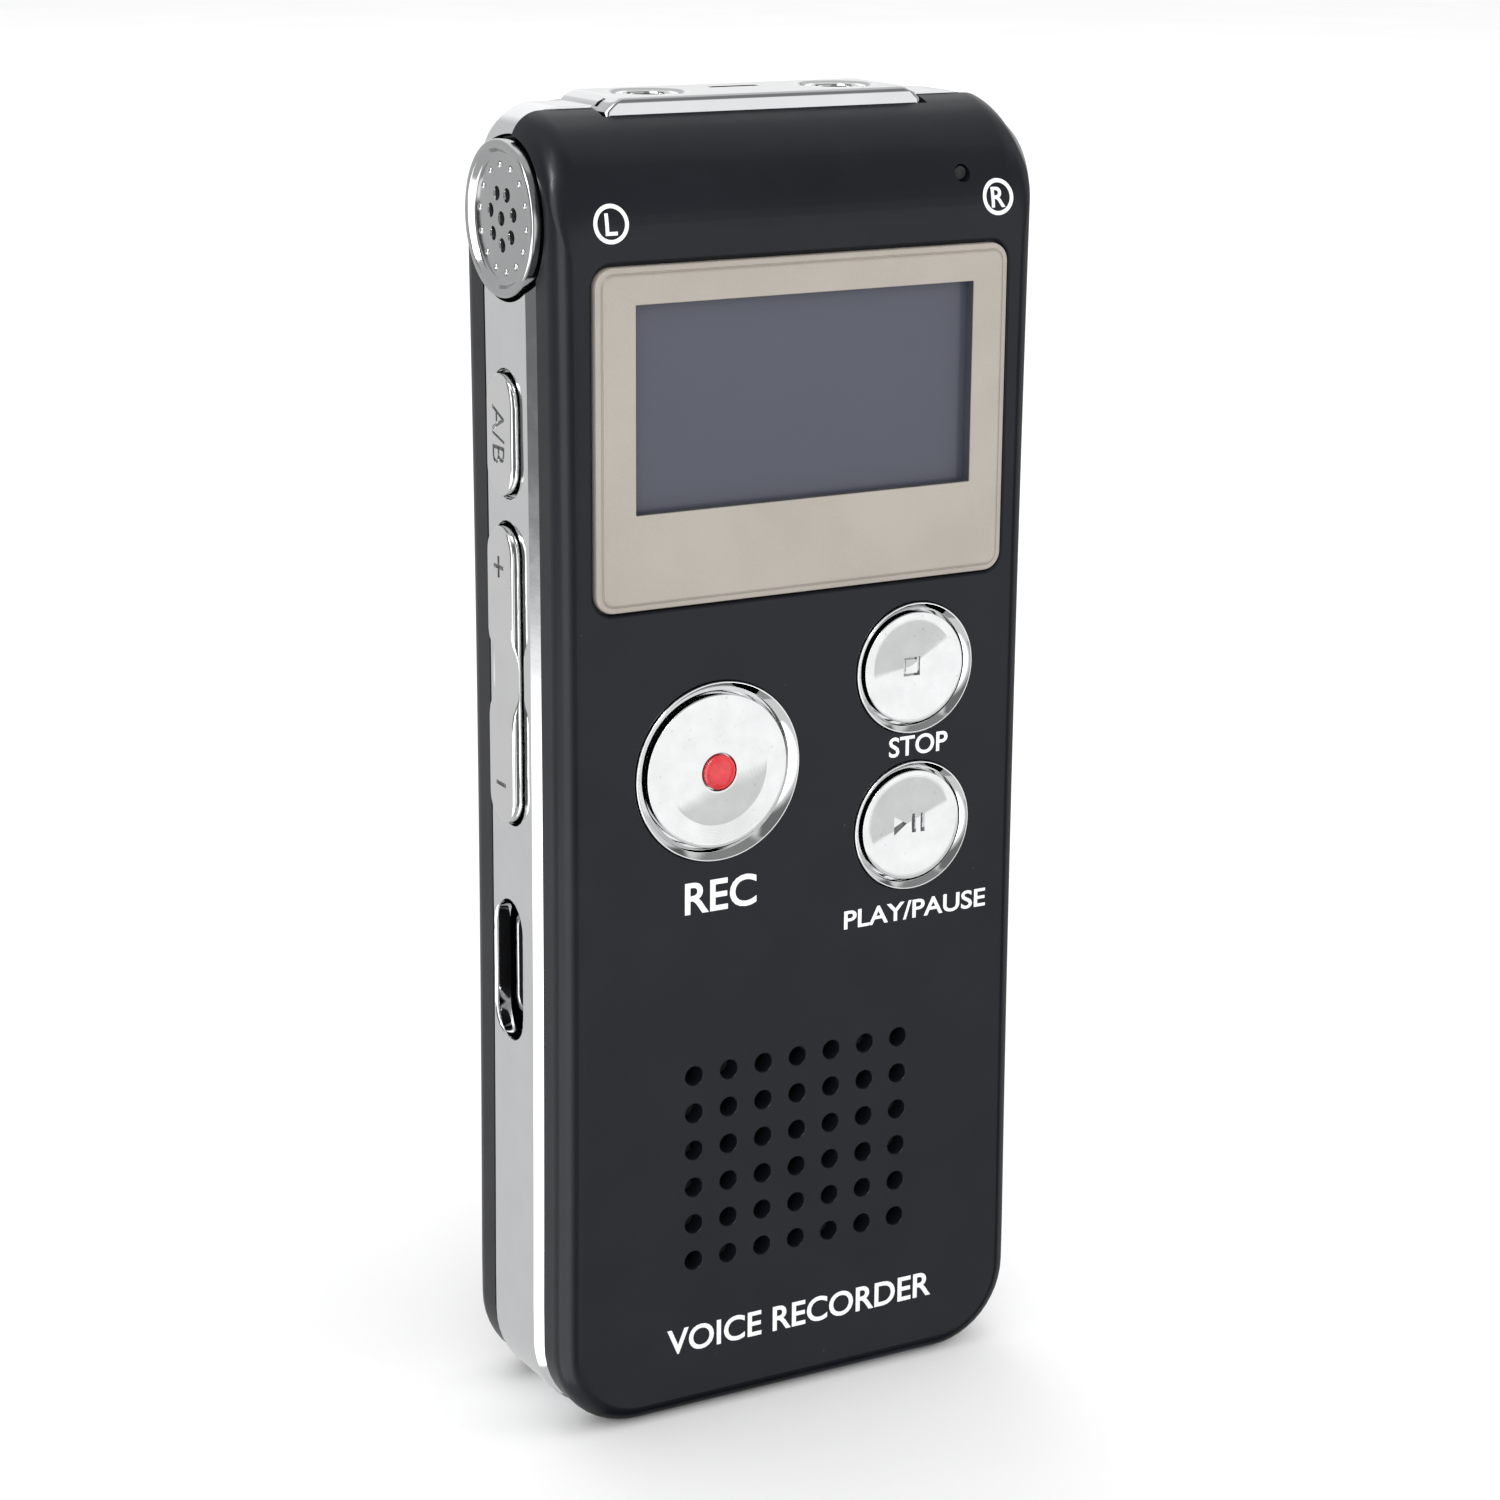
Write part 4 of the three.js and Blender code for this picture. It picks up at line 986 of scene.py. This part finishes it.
def paint_floors(piece, face, low, high):
    """A satin finish in engraved marks, whose floors lie `low` to `high` outside the frame."""
    paint_where(piece, LOOKS["engraved"], lambda x, depth, z: low < abs(x) - face < high and
        abs(depth - SIDE_DEPTH) < 1.25)


def side_controls():
    for name, side in (("ab_button", -1), ("menu_button", 1)):
        form, middle, face = side_control(name, side, GAP, 0.35, lambda along: 0.55)
        if name == "ab_button":
            form = cut(form, side_letters(side, "A/B", SIDE_DEPTH, middle.z, 1.95, face, 0.55,
                0.24))
        else:
            bars = [bar(face + 0.41, face + 2, SIDE_DEPTH, 0.9, middle.z + a, 0.14)
                for a in (-0.75, 0, 0.75)]
            form = cut(form, *bars)
        piece = finished(name + "_cap", form, name, LOOKS["control"], [name])
        paint_floors(piece, face, 0.29, 0.43)
    for name, side in (("volume_rocker", -1), ("track_rocker", 1)):
        form, middle, face = side_control(name, side, ROCK_GAP, 0.4, rocker_height)
        marks = []
        low, out, half, line = face + 0.48, face + 2, 0.8, 0.16
        for end in (1, -1):
            z = middle.z + end * 8.2
            if side < 0:
                marks.append(bar(-out, -low, SIDE_DEPTH, half, z, line))
                if end > 0:
                    marks[-1] = fuse(marks[-1], bar(-out, -low, SIDE_DEPTH, line, z, half))
            else:
                tip = [(SIDE_DEPTH, z + end * 0.8), (SIDE_DEPTH - 0.75, z - end * 0.5),
                    (SIDE_DEPTH + 0.75, z - end * 0.5)]
                marks.append(skin([[(x, depth, up) for depth, up in tip] for x in (low, out)]))
                marks.append(bar(low, out, SIDE_DEPTH, 0.75, z + end * 1.05, line))
        piece = finished(name + "_cap", cut(form, *marks), name,
            LOOKS["control"], [name])
        paint_floors(piece, face, 0.47, 0.49)


def hold_slider():
    middle = span("hold_slider")[0]
    face = chrome_face(middle.z)
    radius, straight = 1.45, 1.05
    levels = [(0, face - 1.6), (0, face + 0.15), (0.04, face + 0.25), (0.12, face + 0.32),
        (0.25, face + 0.35)]
    knob = skin([[(x, SIDE_DEPTH + across, middle.z + along)
        for across, along in stadium(radius - inset, straight, 16)]
        for inset, x in levels])
    parts = []
    for rib in (-1, 0, 1):
        z = middle.z + rib * 1.1
        profile = [(-0.25, 0.1), (-0.25, 0.55), (-0.2, 0.65), (-0.1, 0.69), (0.1, 0.69),
            (0.2, 0.65), (0.25, 0.55), (0.25, 0.1)]
        parts.append(skin([[(face + out, depth, z + along) for along, out in profile]
            for depth in (SIDE_DEPTH - 1.1, SIDE_DEPTH + 1.1)]))
    foot_x = face - FRAME_WALL - GAP
    foot = bar(foot_x - FLANGE, foot_x, SIDE_DEPTH, 2.6, middle.z, 5.6)
    stem = bar(face - 3.6, face - 1.9, SIDE_DEPTH, 0.7, middle.z, 0.7)
    form = fuse(fuse(fuse(knob, *parts), foot), stem)
    finished("hold_slider_knob", form, "hold_slider", LOOKS["control"],
        ["hold_slider"])


def usb_socket():
    middle, half = span("usb_socket")
    mouth, back = middle.x - half.x, middle.x + half.x
    loops = []
    for inset, x in ((0, back), (0, mouth + 0.06), (0.05, mouth), (0.3, mouth),
            (0.36, mouth + 0.08), (0.36, back - 1.2)):
        loop = rounded_rectangle(half.y - inset, middle.z - half.z + inset,
            middle.z + half.z - inset, 1.0 - inset * 0.5, 6)
        loops.append([(x, middle.y + across, z) for across, z in loop])
    tongue = block(mouth + 1.5, back - 1, middle.y - 0.5, middle.y + 0.3, middle.z - 2.6,
        middle.z + 2.6)
    piece = finished("data_socket", fuse(skin(loops), tongue), "case",
        LOOKS["steel"], ["usb_socket"])
    # Past the rim of its mouth the socket takes the dark material: on the tongue this is its own
    # plastic, on the steel walls inside it is painted shade.
    paint_where(piece, LOOKS["dark"], lambda x, depth, z: x > mouth + 0.3)


# ---- Printed marks ----

def letters(text, cap, weight=0.0):
    """Closed letters (across, up, out) of the built-in font: capitals `cap` high, out -1 to 1."""

    def meshed(body):
        curve = bpy.data.curves.new("letters", "FONT")
        curve.body, curve.extrude, curve.resolution_u = body, 1.0, 5
        curve.offset = weight
        made = linked("letters", curve)
        form = evaluated(made)
        bpy.data.objects.remove(made)
        bpy.data.curves.remove(curve)
        return form

    tall = max(point[1] for point in meshed("E")[0])
    points, faces = meshed(text)
    return [(x * cap / tall, y * cap / tall, out) for x, y, out in points], faces


def front_depth(z):
    """Depth of the front surface at a height."""
    start = TOP - ROLL
    return 0.0 if z <= start else ROLL - math.sqrt(ROLL ** 2 - (z - start) ** 2)


def printed(name, forms):
    """Ink that lies on the front surface, cut into strips where the surface curves."""
    mesh = bare_mesh(merged(*forms))
    shape = bmesh.new()
    shape.from_mesh(mesh)
    bpy.data.meshes.remove(mesh)
    heights = [v.co.z for v in shape.verts]
    z = math.ceil((TOP - ROLL) / 0.2) * 0.2
    while z < max(heights):
        if z > min(heights):
            parts = shape.verts[:] + shape.edges[:] + shape.faces[:]
            bmesh.ops.bisect_plane(shape, geom=parts, plane_co=(0, 0, z), plane_no=(0, 0, 1))
        z += 0.2
    shape.verts.index_update()
    points = [(v.co.x, front_depth(v.co.z) + v.co.y, v.co.z) for v in shape.verts]
    faces = [tuple(v.index for v in f.verts) for f in shape.faces]
    shape.free()
    finished(name, (points, faces), "case", LOOKS["ink"])


def line_of_text(text, x0, x1, z, cap):
    points, faces = letters(text, cap, BOLD)
    low, high = min(p[0] for p in points), max(p[0] for p in points)
    scale = (x1 - x0) / (high - low)
    return [(x0 + (x - low) * scale, INK_FRONT if out > 0 else INK_BACK, z + up)
        for x, up, out in points], faces


def circled(letter, x, z, radius, cap):
    points, faces = letters(letter, cap, BOLD)
    middle = mid_across(points)
    placed = [(x + across - middle, INK_FRONT if out > 0 else INK_BACK, z + up - cap / 2)
        for across, up, out in points]
    line = 0.3
    ring = lathe([(radius, INK_BACK), (radius, INK_FRONT), (radius - line, INK_FRONT),
        (radius - line, INK_BACK)], facing_front(x, z), 56, ring=True)
    return [(placed, faces), ring]


def printed_marks():
    for name, *line in (("rec", "REC", -9.84, -3.75, 40.6, 2.4),
            ("stop", "STOP", 7.7, 12.93, 50.4, 1.5),
            ("play", "PLAY/PAUSE", 3.95, 16.75, 37.3, 1.42),
            ("name", "VOICE RECORDER", -11.3, 12.5, 5.3, 2.0)):
        printed("label_" + name, [line_of_text(*line)])
    printed("label_left", circled("L", -15.7, 91.9, 1.38, 1.5))
    printed("label_right", circled("R", 16.4, 92.2, 1.33, 1.45))


# ---- CAD nodes that stay ----

NODE_LOOKS = {
    "rubber": ("left_mic_boot", "right_mic_boot", "speaker_gasket", "battery_pad"),
    "white": ("lcd_holder", "status_led"),
    "dark": ("processor_chip", "memory_chip", "speaker_cone", "light_pipe"),
    "board": ("main_board",), "foil": ("battery",), "ribbon": ("lcd_ribbon",),
    "screen": ("lcd_panel",),
}


def inner_nodes():
    """Every CAD node that still shows takes the look of its material slot."""
    chosen = {node: look for look, nodes in NODE_LOOKS.items() for node in nodes}
    for name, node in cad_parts.items():
        if node.hide_render:
            continue
        node.data.materials.clear()
        node.data.materials.append(LOOKS[chosen.get(name, "steel")])


# ---- Studio ----

# Millimetres from the middle of the foot, and directions.
CAMERA_AT = (-126.16, -222.90, 121.28)
CAMERA_TOWARDS = (0.47471, 0.83841, -0.26781)
CAMERA_UP = (0.12565, 0.23661, 0.96345)
CAMERA_LENS, CAMERA_SENSOR = 83.25, 36
FLOOR_HALF = 6.0


def camera():
    data = bpy.data.cameras.new("camera")
    data.lens, data.sensor_width = CAMERA_LENS, CAMERA_SENSOR
    data.clip_start, data.clip_end = 0.01, 50
    made = linked("camera", data)
    towards, up = Vector(CAMERA_TOWARDS).normalized(), Vector(CAMERA_UP).normalized()
    right = towards.cross(up).normalized()
    up = right.cross(towards)
    turn = Matrix((right, up, -towards)).transposed().to_4x4()
    turn.translation = Vector(CAMERA_AT) * MM
    made.matrix_world = turn
    bpy.context.scene.camera = made


def floor():
    mesh = bpy.data.meshes.new("floor")
    corners = [(x * FLOOR_HALF, y * FLOOR_HALF, 0) for x, y in ((-1, -1), (1, -1), (1, 1), (-1, 1))]
    mesh.from_pydata(corners, [], [(0, 1, 2, 3)])
    look = Look("pale_floor", (0.93, 0.93, 0.93), 0.9, specular=0.0)
    look.paint(look.tone(60.0, 0.01))
    mesh.materials.append(look.material)
    made = linked("floor", mesh)
    made.location.z = -0.0001
    made.visible_glossy = False


class Sky(Nodes):
    """The world's brightness, built from soft-edged panels placed by azimuth and elevation.

    Azimuth 0 is straight in front of the recorder and 90 to its right; both are in degrees."""

    def __init__(self, level):
        self.world = bpy.data.worlds.new("studio")
        self.world.use_nodes = True
        self.tree = self.world.node_tree
        parts = self.xyz(self.add("ShaderNodeTexCoord")["Generated"])
        forwards, turn = self.times(parts["Y"], -1.0), math.degrees(1)
        self.azimuth = self.times(self.maths("ARCTAN2", parts["X"], forwards), turn)
        self.elevation = self.times(self.maths("ARCSINE", parts["Z"]), turn)
        self.total = level

    def step(self, value, edge, soft):
        """Rises smoothly from 0 to 1 as the value passes the edge."""
        return self.add("ShaderNodeMapRange", interpolation_type="SMOOTHSTEP", inputs={
            "Value": value, "From Min": edge - soft / 2, "From Max": edge + soft / 2})["Result"]

    def within(self, angle, low, high, soft):
        middle, half = (low + high) / 2, (high - low) / 2
        away = self.maths("WRAP", self.maths("SUBTRACT", angle, middle), 180.0, -180.0)
        return self.step(self.times(self.maths("ABSOLUTE", away), -1.0), -half, soft)

    def light(self, mask, brightness):
        self.total = self.plus(self.total, self.times(mask, brightness))

    def panel(self, azimuths, elevations, brightness, soft):
        self.light(self.times(self.within(self.azimuth, *azimuths, soft),
            self.within(self.elevation, *elevations, soft)), brightness)

    def table(self, azimuths, level, slope, brightness):
        """A darker surface below a slanting edge, in front of the recorder."""
        middle = sum(azimuths) / 2
        line = self.times(self.maths("SUBTRACT", self.azimuth, middle), slope)
        below = self.maths("SUBTRACT", self.plus(line, level), self.elevation)
        self.light(self.times(self.within(self.azimuth, *azimuths, 4.0),
            self.step(below, 0.0, 1.2)), brightness)

    def close(self, matt_level):
        """Gloss sees the panels, and matt surfaces see an even room."""
        gloss = self.add("ShaderNodeLightPath")["Is Glossy Ray"]
        matt = self.times(self.maths("SUBTRACT", 1.0, gloss), matt_level)
        background = next(n for n in self.tree.nodes if n.type == "BACKGROUND")
        self.put(background, {"Color": (1, 1, 1, 1),
            "Strength": self.plus(self.times(gloss, self.total), matt)})
        bpy.context.scene.world = self.world


# Azimuths, elevations, brightness added or taken away, and width of the soft edge, in degrees.
SKY_PANELS = (
    ((-8, 52), (-42, 8), 0.42, 5),  # pale room in front
    ((-10, 60), (14, 80), -0.42, 12),  # darker ceiling
    ((60, 78), (-45, 30), -0.55, 6),  # two dark uprights on the right
    ((103, 119), (-45, 30), -0.45, 6),
    ((-38, -12), (-35, 45), -0.5, 6),  # dark strip round the camera
    ((-78, -43), (-50, 78), 2.2, 6),  # tall light on the left
    ((-72, -58), (38, 57), 20.0, 5),  # small bright lamp in it
    ((-114, -78), (-50, -15), 1.9, 5),  # pale table top on the left
    ((-114, -80), (-13, 50), -0.48, 5),  # dark wall above it
    ((124, 180), (4, 60), 0.45, 12),  # light behind on the right
    ((15, 180), (-95, -46), -0.5, 10),  # dark below
)
# Positions in metres and powers in watts.
LAMPS = (("key", (-0.6, -1.0, 0.45), 4.5), ("fill", (0.9, -0.6, 0.5), 3.0),
    ("back", (0.2, 1.0, 1.0), 3.0))
LAMP_SIZE = 0.9


def studio():
    """An even pale room with soft panels of light, and lamps that light matt surfaces only."""
    sky = Sky(0.66)
    sky.table((-15, 75), -19.0, 0.34, -0.36)
    for azimuths, elevations, brightness, soft in SKY_PANELS:
        sky.panel(azimuths, elevations, brightness, soft)
    sky.close(1.0)
    for name, position, power in LAMPS:
        lamp = bpy.data.lights.new(name, "AREA")
        lamp.shape, lamp.size, lamp.energy = "DISK", LAMP_SIZE, power
        made = linked(name, lamp)
        made.location = position
        aim = Vector((0, 0, 0.05)) - Vector(position)
        made.rotation_euler = aim.to_track_quat("-Z", "Y").to_euler()
        made.visible_glossy = False
    bpy.context.scene.view_settings.view_transform = "Standard"


# ---- Scene ----

camera()
floor()
studio()
LOOKS = all_looks()
for build in (front_shell, rear_shell, mid_frame, top_plate, jacks, mic_grilles, rear_screws,
        display_bezel, display_lens, ring_trims, rec_button, small_caps, side_controls,
        hold_slider, usb_socket, printed_marks, inner_nodes):
    build()
